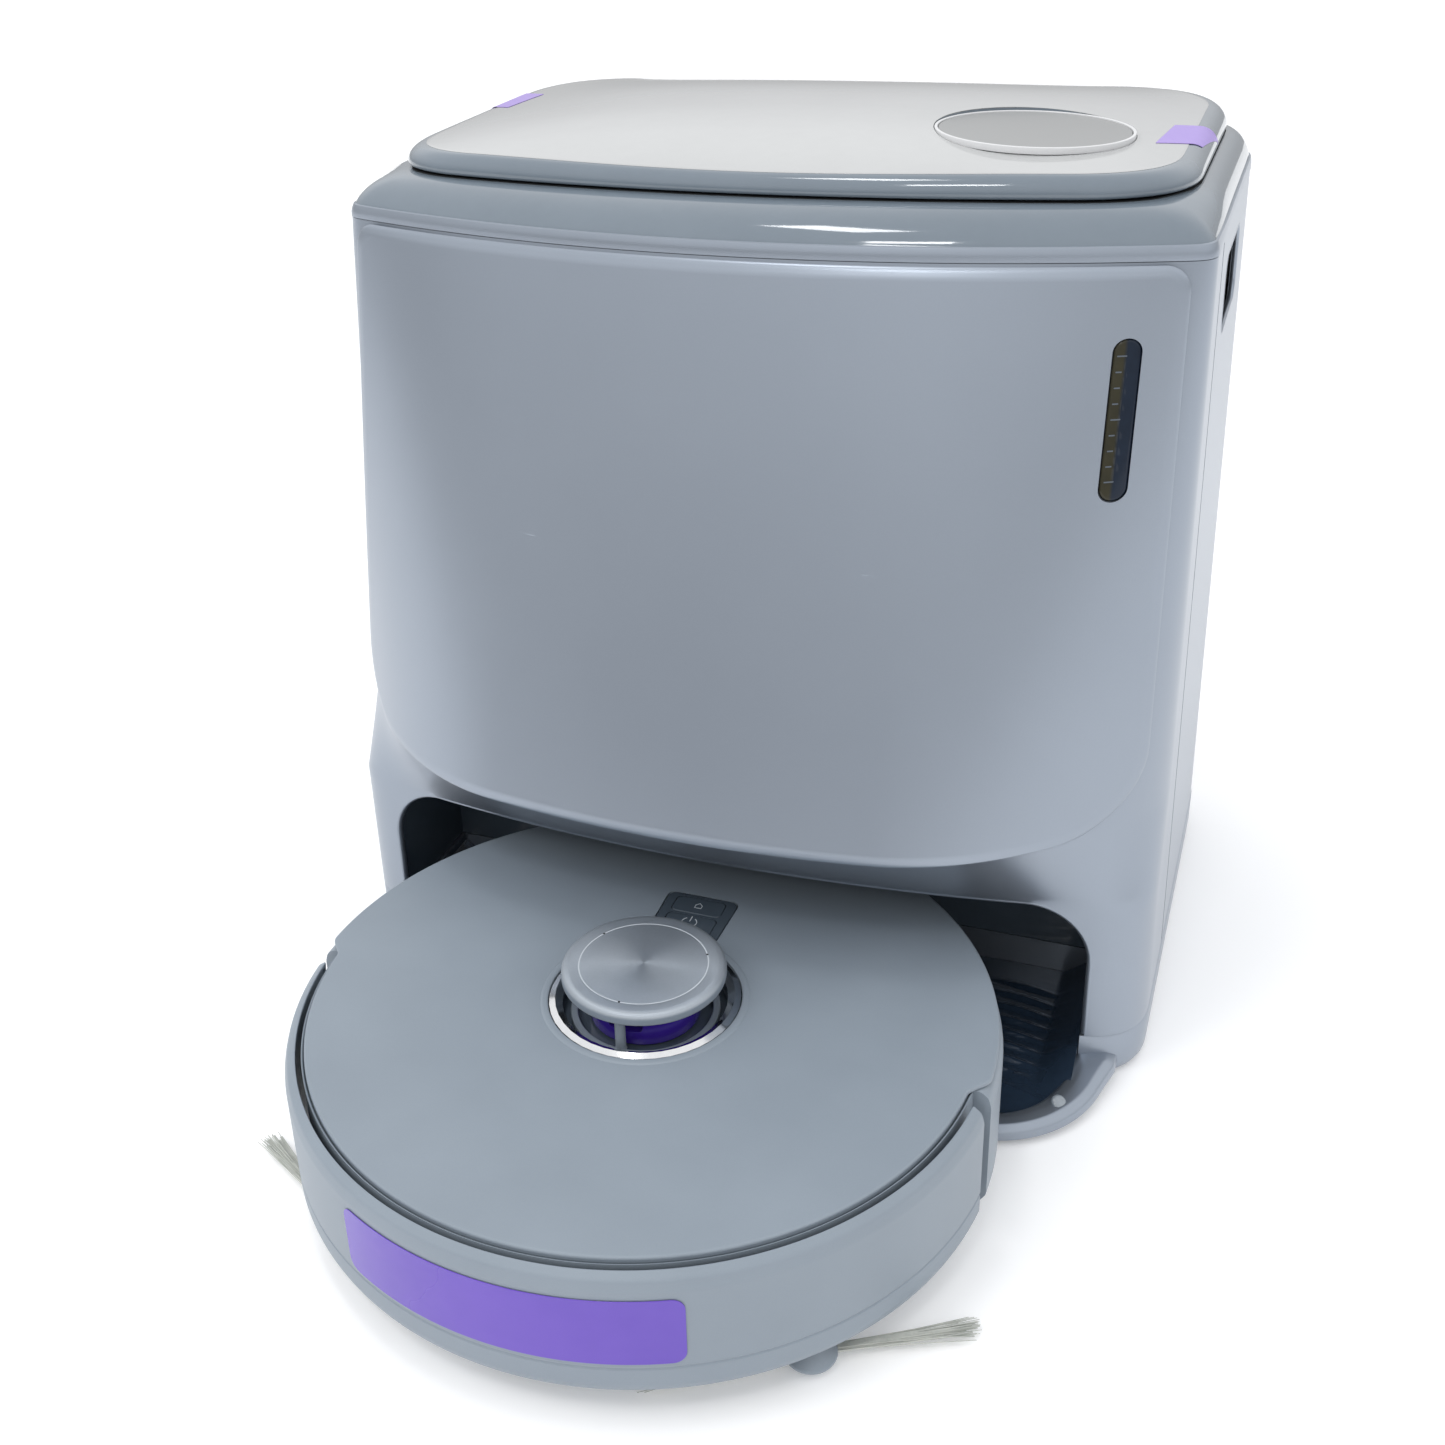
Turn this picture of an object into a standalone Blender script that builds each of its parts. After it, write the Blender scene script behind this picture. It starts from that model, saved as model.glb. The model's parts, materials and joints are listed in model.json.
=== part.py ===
"""Robot vacuum with two spinning mops, half inside its washing and emptying station.

Metres, +Z up, X across and Y into the station. Z = 0 is the floor that the robot and the station's
feet stand on. Y = 0 is midway between the front of the robot's bumper and the station's rear wall.
"""

import math

import bmesh
import bpy
from mathutils import Matrix, Vector

# Clearances
GAP = 0.0003
RUNNING_GAP = 0.0006

# Robot
ROBOT_RADIUS = 0.175
ROBOT_Y = -0.1275
FLOOR_CLEARANCE = 0.014
BODY_TOP = 0.0840
COVER_TOP = 0.0862
COVER_RADIUS = ROBOT_RADIUS - 0.0102
BUMPER_TRAVEL = 0.0025
BUMPER_HALF_ANGLE = math.radians(83)
BUMPER_WALL = 0.0038
BUMPER_LIP = ROBOT_RADIUS - 0.0058
FILM_LOW = 0.0370
FILM_HIGH = 0.0730
BODY_WALL = 0.004
TURRET_Y = 0.004
TURRET_TOP = 0.106
TURRET_RADIUS = 0.0407
TURRET_HOLE = 0.048
BUTTON_Y = 0.073
WHEEL_RADIUS = 0.035
WHEEL_WIDTH = 0.018
WHEEL_X = 0.116
WHEEL_Y = 0.012
ARM_LENGTH = 0.045
ROLLER_RADIUS = 0.020
ROLLER_LENGTH = 0.160
ROLLER_Y = -0.042
ROLLER_Z = 0.0290
SIDE_BRUSH_X = 0.118
SIDE_BRUSH_Y = -0.108
SIDE_BRUSH_REACH = 0.079
SIDE_BRUSH_ANGLE = math.radians(30.5)
MOP_RADIUS = 0.062
MOP_X = 0.068
MOP_Y = 0.098
MOP_BOTTOM = 0.0112

# Station
STATION_HALF_WIDTH_LOW = 0.2300
STATION_HALF_WIDTH_HIGH = 0.2225
STATION_REAR = 0.3031
REAR_CORNER = 0.055
CORNER_LOW = 0.032
CORNER_HIGH = 0.010
SHELL_WALL = 0.003
BASE_BOTTOM = 0.002
BASE_TOP = 0.0270
SHELL_TOP = 0.4222
PANEL_HALF_WIDTH_LOW = 0.2180
PANEL_HALF_WIDTH_HIGH = 0.2130
PANEL_BOTTOM = 0.1535
PANEL_TOP = 0.4215
PANEL_LEAN = 0.330
PANEL_BOTTOM_Y = -0.0875
PANEL_THICKNESS = 0.0028
PANEL_STAND_OFF = 0.0046
PANEL_LOW_CORNER = 0.038
PANEL_HIGH_CORNER = 0.012
FRONT_CROWN = 0.80
SIDE_ROLL = 0.055
LIP_Z = 0.1086
LIP_Y = -0.0387
LIP_CROWN = 0.50
SEAM_Y = 0.083
SEAM_WIDTH = 0.003
BAY_HALF_WIDTH = 0.2010
BAY_REAR = 0.0625
BAY_CEILING = 0.1130
BASE_FRONT = LIP_Y + PANEL_STAND_OFF
TRAY_HALF_WIDTH = 0.1985
TRAY_FRONT = -0.0770
TRAY_TOP = 0.0088
TRAY_CORNER = 0.045
COLLAR_TOP = 0.4435
LID_HALF_WIDTH = 0.2085
LID_FRONT = 0.0370
LID_REAR = 0.2990
LID_EDGE = 0.0080
LID_RISE = 0.0120
LID_BACK_RISE = 0.0045
DISPLAY_X = 0.1247
DISPLAY_Y = 0.1293
DISPLAY_RADIUS = 0.0473
WINDOW_X = 0.1895
WINDOW_HALF_WIDTH = 0.0060
WINDOW_HIGH = PANEL_TOP - 0.0310
WINDOW_LOW = WINDOW_HIGH - 0.0725
HATCH_LOW = PANEL_BOTTOM + 0.0265
HATCH_HIGH = PANEL_TOP - 0.0215
DECK_TOP = 0.1205
TANK_BOTTOM = DECK_TOP + 0.0010
TANK_TOP = 0.4250
HANDLE_Y = 0.158
HANDLE_Z = 0.386
HANDLE_LENGTH = 0.084
HANDLE_HEIGHT = 0.040

MATERIALS = {
    "slate_plastic": ((0.280, 0.330, 0.370), 0.45, 0.0),
    "dark_plastic": ((0.020, 0.022, 0.025), 0.50, 0.0),
    "silver_paint": ((0.380, 0.410, 0.440), 0.35, 0.7),
    "gloss_slate": ((0.200, 0.240, 0.280), 0.12, 0.0),
    "gloss_lid": ((0.330, 0.350, 0.370), 0.08, 0.0),
    "smoked_window": ((0.030, 0.040, 0.050), 0.10, 0.0),
    "navy_tray": ((0.013, 0.022, 0.035), 0.15, 0.0),
    "clear_tank": ((0.500, 0.560, 0.600), 0.15, 0.0),
    "grey_tank": ((0.180, 0.190, 0.200), 0.25, 0.0),
    "white_cap": ((0.700, 0.710, 0.720), 0.40, 0.0),
    "paper_bag": ((0.620, 0.600, 0.560), 0.90, 0.0),
    "black_rubber": ((0.015, 0.015, 0.016), 0.80, 0.0),
    "bright_metal": ((0.800, 0.810, 0.820), 0.15, 1.0),
    "brushed_cap": ((0.360, 0.400, 0.430), 0.30, 0.6),
    "violet_rotor": ((0.030, 0.013, 0.190), 0.30, 0.0),
    "violet_film": ((0.160, 0.085, 0.510), 0.35, 0.0),
    "green_board": ((0.020, 0.120, 0.060), 0.50, 0.0),
    "bristle": ((0.520, 0.570, 0.530), 0.70, 0.0),
    "mop_cloth": ((0.350, 0.370, 0.400), 0.95, 0.0),
}


def clear_scene():
    for existing in list(bpy.data.objects):
        bpy.data.objects.remove(existing, do_unlink=True)


def material(name):
    found = bpy.data.materials.get(name)
    if found:
        return found
    colour, roughness, metallic = MATERIALS[name]
    made = bpy.data.materials.new(name)
    made.use_nodes = True
    shader = made.node_tree.nodes["Principled BSDF"]
    shader.inputs["Base Color"].default_value = (*colour, 1.0)
    shader.inputs["Roughness"].default_value = roughness
    shader.inputs["Metallic"].default_value = metallic
    return made


def robot_point(x, y, z):
    """A point given from the robot's centre, in the shared frame."""
    return Vector((x, y + ROBOT_Y, z))


def pivot(name, at, parent=None):
    made = bpy.data.objects.new(name, None)
    bpy.context.scene.collection.objects.link(made)
    made["place"] = list(at)
    made.parent = parent
    made.location = Vector(at) - Vector(parent["place"] if parent else (0, 0, 0))
    return made


def finish(name, mesh, finish_name, at=(0, 0, 0), parent=None, sharp=35):
    """Turn a bmesh, whose points are relative to `at`, into a placed and shaded object."""
    bmesh.ops.recalc_face_normals(mesh, faces=mesh.faces)
    data = bpy.data.meshes.new(name)
    mesh.to_mesh(data)
    mesh.free()
    data.shade_smooth()
    data.set_sharp_from_angle(angle=math.radians(sharp))
    made = bpy.data.objects.new(name, data)
    bpy.context.scene.collection.objects.link(made)
    if finish_name:
        data.materials.append(material(finish_name))
    else:
        made.hide_render = True
        made.display_type = "WIRE"
    made.parent = parent
    made.location = Vector(at) - Vector(parent["place"] if parent else (0, 0, 0))
    return made


def cut(target, *cutters):
    for cutter in cutters:
        boolean(target, cutter, "DIFFERENCE")


def boolean(target, other, operation):
    modifier = target.modifiers.new(other.name, "BOOLEAN")
    modifier.operation = operation
    modifier.solver = "EXACT"
    modifier.object = other


def grid_faces(mesh, rows, closed_rows=False, closed_columns=False):
    """Quads between neighbouring rows of vertices, joined round where a direction is closed."""
    row_pairs = len(rows) if closed_rows else len(rows) - 1
    count = len(rows[0])
    column_pairs = count if closed_columns else count - 1
    for row in range(row_pairs):
        upper = rows[(row + 1) % len(rows)]
        for column in range(column_pairs):
            after = (column + 1) % count
            corners = [rows[row][column], rows[row][after], upper[after], upper[column]]
            unique = list(dict.fromkeys(corners))
            if len(unique) > 2:
                mesh.faces.new(unique)


def turned(name, profile, finish_name, at, segments=40, start=0.0, sweep=math.tau, parent=None):
    """Spin a closed (radius, height) outline about the vertical axis through `at`."""
    mesh = bmesh.new()
    whole = abs(sweep - math.tau) < 1e-6
    steps = segments if whole else segments + 1
    centres = {}
    for index, (radius, height) in enumerate(profile):
        if radius == 0:
            centres[index] = mesh.verts.new((0, 0, height))
    rows = []
    for step in range(steps):
        angle = start + sweep * step / segments
        row = []
        for index, (radius, height) in enumerate(profile):
            spot = (radius * math.cos(angle), radius * math.sin(angle), height)
            row.append(centres.get(index) or mesh.verts.new(spot))
        rows.append(row)
    on_axis = len(centres) > 0
    grid_faces(mesh, rows, closed_rows=whole, closed_columns=not on_axis)
    if not whole:
        mesh.faces.new(rows[0])
        mesh.faces.new(rows[-1])
    return finish(name, mesh, finish_name, at, parent)


def rounded(half_x, half_y, radius, steps=4):
    """Corner-rounded rectangle about the origin, anticlockwise."""
    points = []
    for quarter, (side_x, side_y) in enumerate(((1, 1), (-1, 1), (-1, -1), (1, -1))):
        for step in range(steps + 1):
            angle = math.radians(90 * (quarter + step / steps))
            x = side_x * (half_x - radius) + radius * math.cos(angle)
            y = side_y * (half_y - radius) + radius * math.sin(angle)
            points.append((x, y))
    return points


def prism(name, outline, low, high, finish_name, at=(0, 0, 0), turn=None, parent=None, bevel=0.0):
    """Extrude a flat outline between two heights, then turn it with the matrix `turn`."""
    mesh = bmesh.new()
    rows = [[mesh.verts.new((x, y, z)) for x, y in outline] for z in (low, high)]
    grid_faces(mesh, rows, closed_columns=True)
    caps = [mesh.faces.new(rows[0]), mesh.faces.new(rows[1])]
    bmesh.ops.recalc_face_normals(mesh, faces=mesh.faces)
    if bevel:
        edges = {edge for cap in caps for edge in cap.edges}
        bmesh.ops.bevel(mesh, geom=list(edges), offset=bevel, segments=2, affect="EDGES", profile=0.5)
    if turn:
        bmesh.ops.transform(mesh, matrix=turn, verts=mesh.verts)
    return finish(name, mesh, finish_name, at, parent)


def block(name, low, high, finish_name, at=(0, 0, 0), parent=None, corner=0.0, bevel=0.0):
    """Box between two corners, with rounded upright edges and bevelled rims."""
    centre = [(a + b) / 2 for a, b in zip(low, high)]
    half = [(b - a) / 2 for a, b in zip(low, high)]
    if corner:
        outline = rounded(half[0], half[1], corner, 3)
    else:
        outline = [(half[0], half[1]), (-half[0], half[1]), (-half[0], -half[1]), (half[0], -half[1])]
    outline = [(x + centre[0], y + centre[1]) for x, y in outline]
    return prism(name, outline, low[2], high[2], finish_name, at, None, parent, bevel)


def disc(name, radius, low, high, finish_name, at, segments=24, parent=None, bevel=0.0, turn=None):
    outline = []
    for step in range(segments):
        angle = math.tau * step / segments
        outline.append((radius * math.cos(angle), radius * math.sin(angle)))
    return prism(name, outline, low, high, finish_name, at, turn, parent, bevel)


def sheet(name, outer, inner, finish_name, at=(0, 0, 0), parent=None, ring=False, sharp=35):
    """Closed solid between two matching grids of points; `ring` joins the ends of each row."""
    mesh = bmesh.new()
    origin = Vector(at)
    outside = [[mesh.verts.new(Vector(point) - origin) for point in row] for row in outer]
    inside = [[mesh.verts.new(Vector(point) - origin) for point in row] for row in inner]
    grid_faces(mesh, outside, closed_columns=ring)
    grid_faces(mesh, inside, closed_columns=ring)
    grid_faces(mesh, [outside[0], inside[0]], closed_columns=ring)
    grid_faces(mesh, [outside[-1], inside[-1]], closed_columns=ring)
    if not ring:
        for end in (0, -1):
            edge = [[row[end] for row in outside], [row[end] for row in inside]]
            grid_faces(mesh, edge)
    return finish(name, mesh, finish_name, at, parent, sharp)


def front_y(x, z):
    """Y of the station's crowned, leaning front face; it rolls back towards the sides low down."""
    lip = LIP_Y + LIP_CROWN * x * x
    if z <= LIP_Z:
        return lip
    height = min(1.0, max(0.0, (z - PANEL_BOTTOM) / (PANEL_TOP - PANEL_BOTTOM)))
    centre = PANEL_BOTTOM_Y + PANEL_LEAN * max(0.0, z - PANEL_BOTTOM)
    side_roll = SIDE_ROLL * (1 - height) * max(0.0, (abs(x) - 0.10) / 0.12) ** 2
    panel = centre + FRONT_CROWN * x * x + side_roll
    if z >= PANEL_BOTTOM:
        return panel
    share = (z - LIP_Z) / (PANEL_BOTTOM - LIP_Z)
    return lip + (panel - lip) * share


def half_width(z):
    share = min(1.0, max(0.0, z / SHELL_TOP))
    return STATION_HALF_WIDTH_LOW + (STATION_HALF_WIDTH_HIGH - STATION_HALF_WIDTH_LOW) * share


def panel_half_width(z):
    """Half width of the front panel, with its big lower and small upper corner radii."""
    share = (z - PANEL_BOTTOM) / (PANEL_TOP - PANEL_BOTTOM)
    side = PANEL_HALF_WIDTH_LOW + (PANEL_HALF_WIDTH_HIGH - PANEL_HALF_WIDTH_LOW) * share
    if z < PANEL_BOTTOM + PANEL_LOW_CORNER:
        rise = PANEL_BOTTOM + PANEL_LOW_CORNER - z
        return side - PANEL_LOW_CORNER + math.sqrt(max(0, PANEL_LOW_CORNER**2 - rise**2))
    if z > PANEL_TOP - PANEL_HIGH_CORNER:
        rise = z - PANEL_TOP + PANEL_HIGH_CORNER
        return side - PANEL_HIGH_CORNER + math.sqrt(max(0, PANEL_HIGH_CORNER**2 - rise**2))
    return side


def front_half(z, inset, offset, corner=None, steps=11):
    """Right half of the station's front in plan at height z, from the middle out to the side."""
    width = half_width(z) - inset
    if corner is None:
        corner = CORNER_LOW + (CORNER_HIGH - CORNER_LOW) * min(1.0, z / SHELL_TOP)
    start = width - corner
    points = []
    for step in range(steps + 1):
        x = start * (step / steps) ** 0.8
        points.append(Vector((x, front_y(x, z) + offset, z)))
    slope = (front_y(start, z) - front_y(start - 0.002, z)) / 0.002
    knee = Vector((width, points[-1].y + slope * corner, z))
    end = Vector((width, knee.y + corner, z))
    for step in range(1, 5):
        share = step / 4
        bend = points[steps] * (1 - share) ** 2 + knee * 2 * share * (1 - share) + end * share**2
        points.append(bend)
    return points


def both_sides(half):
    """Mirror a right half to the left and join the two in one row, left to right."""
    left = [Vector((-point.x, point.y, point.z)) for point in reversed(half) if point.x > 1e-6]
    return left + list(half)


def rear_half(z, inset, steps=5):
    """Right half of the station's back in plan at height z, from the side seam to the middle."""
    width = half_width(z) - inset
    rear = STATION_REAR - inset
    corner = REAR_CORNER - inset
    points = [Vector((width, SEAM_Y + SEAM_WIDTH / 2, z)), Vector((width, 0.16, z))]
    for step in range(steps + 1):
        angle = math.radians(90 * step / steps)
        x = width - corner + corner * math.cos(angle)
        points.append(Vector((x, rear - corner + corner * math.sin(angle), z)))
    points.append(Vector((0.08, rear, z)))
    points.append(Vector((0, rear, z)))
    return points


def rim_half(width, front, crown, rear, front_corner, rear_corner, z, steps=8):
    """Right half of a rounded plan outline, from the front middle to the rear middle."""
    points = []
    start = width - front_corner
    for step in range(steps + 1):
        x = start * step / steps
        points.append(Vector((x, front + crown * x * x, z)))
    slope = 2 * crown * start
    knee = Vector((width, points[-1].y + slope * front_corner, z))
    end = Vector((width, knee.y + front_corner, z))
    for step in range(1, 6):
        share = step / 5
        bend = points[steps] * (1 - share) ** 2 + knee * 2 * share * (1 - share) + end * share**2
        points.append(bend)
    points.append(Vector((width, (end.y + rear - rear_corner) / 2, z)))
    for step in range(6):
        angle = math.radians(90 * step / 5)
        x = width - rear_corner + rear_corner * math.cos(angle)
        points.append(Vector((x, rear - rear_corner + rear_corner * math.sin(angle), z)))
    points.append(Vector((0.07, rear, z)))
    points.append(Vector((0, rear, z)))
    return points


def closed_ring(half):
    """Mirror a half outline whose first and last points lie on the middle line, as one loop."""
    left = [Vector((-point.x, point.y, point.z)) for point in reversed(half[1:-1])]
    return list(half) + left


def front_patch(name, centre, half_span, levels, outside, inside, finish_name, at, parent, columns):
    """Piece that follows the station's front between two depths; half_span gives its half width."""
    rows = []
    for depth in (outside, inside):
        grid = []
        for z in levels:
            row = []
            for column in range(columns + 1):
                x = centre + half_span(z) * (2 * column / columns - 1)
                row.append(Vector((x, front_y(x, z) + depth, z)))
            grid.append(row)
        rows.append(grid)
    return sheet(name, rows[0], rows[1], finish_name, at, parent)


def corner_levels(low, high, low_radius, high_radius, middle):
    """Heights of rows, closer together inside the rounded ends."""
    levels = []
    for step in range(6):
        levels.append(low + low_radius * (1 - math.cos(math.radians(18 * step))) + 1e-5)
    span = high - high_radius - low - low_radius
    for step in range(1, middle):
        levels.append(low + low_radius + span * step / middle)
    for step in range(4):
        levels.append(high - high_radius + high_radius * math.sin(math.radians(30 * step)) - 1e-5)
    return levels


# ---- station ----


def build_base():
    plate_half = front_half(BASE_BOTTOM, 0, PANEL_STAND_OFF)
    back = rear_half(BASE_BOTTOM, 0)
    loop = closed_ring(plate_half + back)
    outline = [(point.x, point.y) for point in loop]
    plate = prism("base_plate", outline, BASE_BOTTOM, BASE_TOP, "slate_plastic")
    pocket = block("tray_pocket", (-TRAY_HALF_WIDTH - GAP, -0.1, BASE_BOTTOM + 0.0020),
                   (TRAY_HALF_WIDTH + GAP, BAY_REAR - GAP, 0.1), None)
    machine = block("machine_pocket", (-0.205, BAY_REAR + 0.004, BASE_BOTTOM + 0.003),
                    (0.205, STATION_REAR - 0.02, 0.1), None, corner=0.03)
    cut(plate, pocket, machine)
    for index, (x, y) in enumerate(((-0.190, 0.02), (0.190, 0.02), (-0.190, 0.25), (0.190, 0.25))):
        disc(f"foot_{index + 1}", 0.011, 0, BASE_BOTTOM - GAP, "black_rubber", (x, y, 0), 16)


def tray_half_width(y):
    drop = TRAY_FRONT + TRAY_CORNER - y
    if drop <= 0:
        return TRAY_HALF_WIDTH
    return TRAY_HALF_WIDTH - TRAY_CORNER + math.sqrt(max(0.0, TRAY_CORNER**2 - drop**2))


def tray_height(x, y):
    """Ramp at the front, flat under the robot, banks up the two sides behind the legs' line."""
    ramp = min(1.0, (y - TRAY_FRONT) / 0.028)
    floor = 0.0030 + (TRAY_TOP - 0.0030) * ramp
    bank = max(0.0, (abs(x) - 0.180) / 0.018) * min(1.0, max(0.0, (y + 0.045) / 0.03))
    return floor + 0.014 * bank


def build_tray():
    bottom = BASE_BOTTOM + 0.0020 + GAP
    rear = BAY_REAR - 2 * GAP
    spots = [TRAY_FRONT + 0.001 + 0.044 * (1 - math.cos(math.radians(18 * step))) for step in range(6)]
    spots += [-0.025, -0.015, 0.02, rear]
    shares = [-1, -0.955, -0.91, -0.6, -0.2, 0.2, 0.6, 0.91, 0.955, 1]
    top = []
    under = []
    for y in spots:
        width = tray_half_width(y)
        low = bottom if y > BASE_FRONT - 0.016 else 0.0012
        top.append([Vector((width * share, y, tray_height(width * share, y))) for share in shares])
        under.append([Vector((width * share, y, low)) for share in shares])
    sheet("wash_tray", top, under, "navy_tray")


def build_bay():
    half = front_half(0.03, 0.020, 0.0115, 0.004, 6)
    loop = half + [Vector((0.205, 0, 0)), Vector((0.205, BAY_REAR + 0.003, 0)), Vector((0, BAY_REAR + 0.003, 0))]
    outline = [(point.x, point.y) for point in closed_ring(loop)]
    liner = prism("bay_liner", outline, BASE_TOP + GAP, BAY_CEILING + 0.003, "dark_plastic")
    hollow = block("bay_hollow", (-BAY_HALF_WIDTH, -0.2, 0), (BAY_HALF_WIDTH, BAY_REAR, BAY_CEILING), None)
    cut(liner, hollow)
    for side, sign in (("left", -1), ("right", 1)):
        block(f"charge_contact_{side}", (-0.009, -0.0120, -0.004), (0.009, -GAP, 0.004), "bright_metal",
              (sign * 0.030, BAY_REAR, 0.050), bevel=0.0012)


def build_front_frame():
    levels = [BASE_TOP + GAP, 0.065, 0.094, LIP_Z, 0.123, 0.138, PANEL_BOTTOM, 0.18, 0.22, 0.28, 0.35, SHELL_TOP]
    seam = SEAM_Y - SEAM_WIDTH / 2
    outer = []
    inner = []
    for z in levels:
        for rows, inset in ((outer, 0.0), (inner, SHELL_WALL)):
            half = front_half(z, inset, PANEL_STAND_OFF + inset)
            half.append(Vector((half[-1].x, seam, z)))
            rows.append(both_sides(half))
    frame = sheet("front_frame", outer, inner, "silver_paint")
    upright = Matrix.Rotation(math.radians(90), 4, "X")
    opening = rounded(BAY_HALF_WIDTH, 0.084, 0.022, 4)
    bay = prism("bay_opening", opening, -0.03, 0.09, None, (0, 0, LIP_Z - 0.084 + 0.0002), upright)
    service = rounded(0.182, (HATCH_HIGH - HATCH_LOW) / 2, 0.03, 4)
    hatch = prism("service_opening", service, -0.06, 0.10, None, (0, 0, (HATCH_LOW + HATCH_HIGH) / 2), upright)
    cut(frame, bay, hatch)


def build_rear_shell():
    levels = [BASE_TOP + GAP, 0.16, 0.30, SHELL_TOP]
    outer = [both_sides(list(reversed(rear_half(z, 0.0)))) for z in levels]
    inner = [both_sides(list(reversed(rear_half(z, SHELL_WALL)))) for z in levels]
    shell = sheet("rear_shell", outer, inner, "silver_paint")
    sideways = Matrix.Rotation(math.radians(90), 4, "Z") @ Matrix.Rotation(math.radians(90), 4, "X")
    grip = rounded(HANDLE_LENGTH / 2, HANDLE_HEIGHT / 2, 0.008, 3)
    hand_holes = prism("hand_holes", grip, -0.3, 0.3, None, (0, HANDLE_Y, HANDLE_Z), sideways)
    socket_hole = block("socket_hole", (-0.018, -0.02, -0.013), (0.018, 0.02, 0.013), None,
                        (-0.150, STATION_REAR, 0.056))
    cut(shell, hand_holes, socket_hole)
    for side, sign in (("left", -1), ("right", 1)):
        build_handle_cup(side, sign)
        build_seam_strip(side, sign)
    inlet = block("power_inlet", (-0.017, -0.024, -0.012), (0.017, 0.0, 0.012), "dark_plastic",
                  (-0.150, STATION_REAR, 0.056), bevel=0.001)
    socket = block("inlet_socket", (-0.012, -0.018, -0.007), (0.012, 0.01, 0.007), None,
                   (-0.150, STATION_REAR, 0.056))
    cut(inlet, socket)


def build_handle_cup(side, sign):
    wall = half_width(HANDLE_Z - 0.026) - SHELL_WALL - 4 * GAP
    near = wall if sign > 0 else -wall
    deep = sign * (wall - 0.016)
    low = (min(near, deep), HANDLE_Y - 0.048, HANDLE_Z - 0.026)
    high = (max(near, deep), HANDLE_Y + 0.048, HANDLE_Z + 0.026)
    cup = block(f"handle_cup_{side}", low, high, "dark_plastic", (0, 0, 0))
    inner = sign * (wall - 0.0135)
    past = sign * (wall + 0.01)
    hollow = block(f"cup_hollow_{side}", (min(inner, past), HANDLE_Y - 0.0440, HANDLE_Z - 0.0220),
                   (max(inner, past), HANDLE_Y + 0.0440, HANDLE_Z + 0.0220), None)
    cut(cup, hollow)


def build_seam_strip(side, sign):
    """Dark strip that fills the shadow gap between the front frame and the rear shell."""
    near = SEAM_Y - SEAM_WIDTH / 2 + GAP
    far = SEAM_Y + SEAM_WIDTH / 2 - GAP
    outer = []
    inner = []
    for z in (BASE_TOP + GAP, SHELL_TOP):
        edge = half_width(z) - 0.0010
        outer.append([Vector((sign * edge, y, z)) for y in (near, far)])
        inner.append([Vector((sign * (edge - 0.0020), y, z)) for y in (near, far)])
    sheet(f"seam_strip_{side}", outer, inner, "dark_plastic")


def build_collar():
    low = closed_ring(front_half(SHELL_TOP, 0, PANEL_STAND_OFF)[:-1]
                      + rear_half(SHELL_TOP, 0)[1:])
    count = len(low)
    high_half = rim_half(LID_HALF_WIDTH + 0.0005, LID_FRONT - 0.0005, 0.60, LID_REAR + 0.0005,
                         0.050, 0.060, COLLAR_TOP)
    high = match_loop(closed_ring(high_half), low)
    outer = []
    inner = []
    steps = 4
    for step in range(steps + 1):
        angle = math.radians(90 * step / steps)
        share = 1 - math.cos(angle)
        rise = math.sin(angle)
        z = SHELL_TOP + GAP + (COLLAR_TOP - SHELL_TOP - GAP) * rise
        row = []
        deep = []
        for index in range(count):
            x = low[index].x + (high[index].x - low[index].x) * share
            y = low[index].y + (high[index].y - low[index].y) * share
            row.append(Vector((x, y, z)))
            centre = Vector((0, 0.15, 0))
            inward = (centre - Vector((x, y, 0))).normalized() * (0.0035 + 0.001 * share)
            deep.append(Vector((x, y, max(SHELL_TOP + GAP, z - 0.0025 * rise))) + inward)
        outer.append(row)
        inner.append(deep)
    sheet("collar", outer, inner, "gloss_slate", ring=True)


def match_loop(loop, guide):
    """Points of `loop` at the bearings, from the station's middle, of the points of `guide`."""
    middle = Vector((0, 0.15))
    flat = [Vector((point.x, point.y)) - middle for point in loop]
    matched = []
    for point in guide:
        direction = (Vector((point.x, point.y)) - middle).normalized()
        best = None
        for index, first in enumerate(flat):
            second = flat[(index + 1) % len(flat)]
            run = second - first
            cross = direction.x * run.y - direction.y * run.x
            if abs(cross) < 1e-12:
                continue
            distance = (first.x * run.y - first.y * run.x) / cross
            share = (first.x * direction.y - first.y * direction.x) / cross
            if distance > 0 and -1e-6 <= share <= 1 + 1e-6:
                best = distance
                break
        matched.append(Vector((*(middle + direction * best), loop[0].z)))
    return matched


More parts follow.
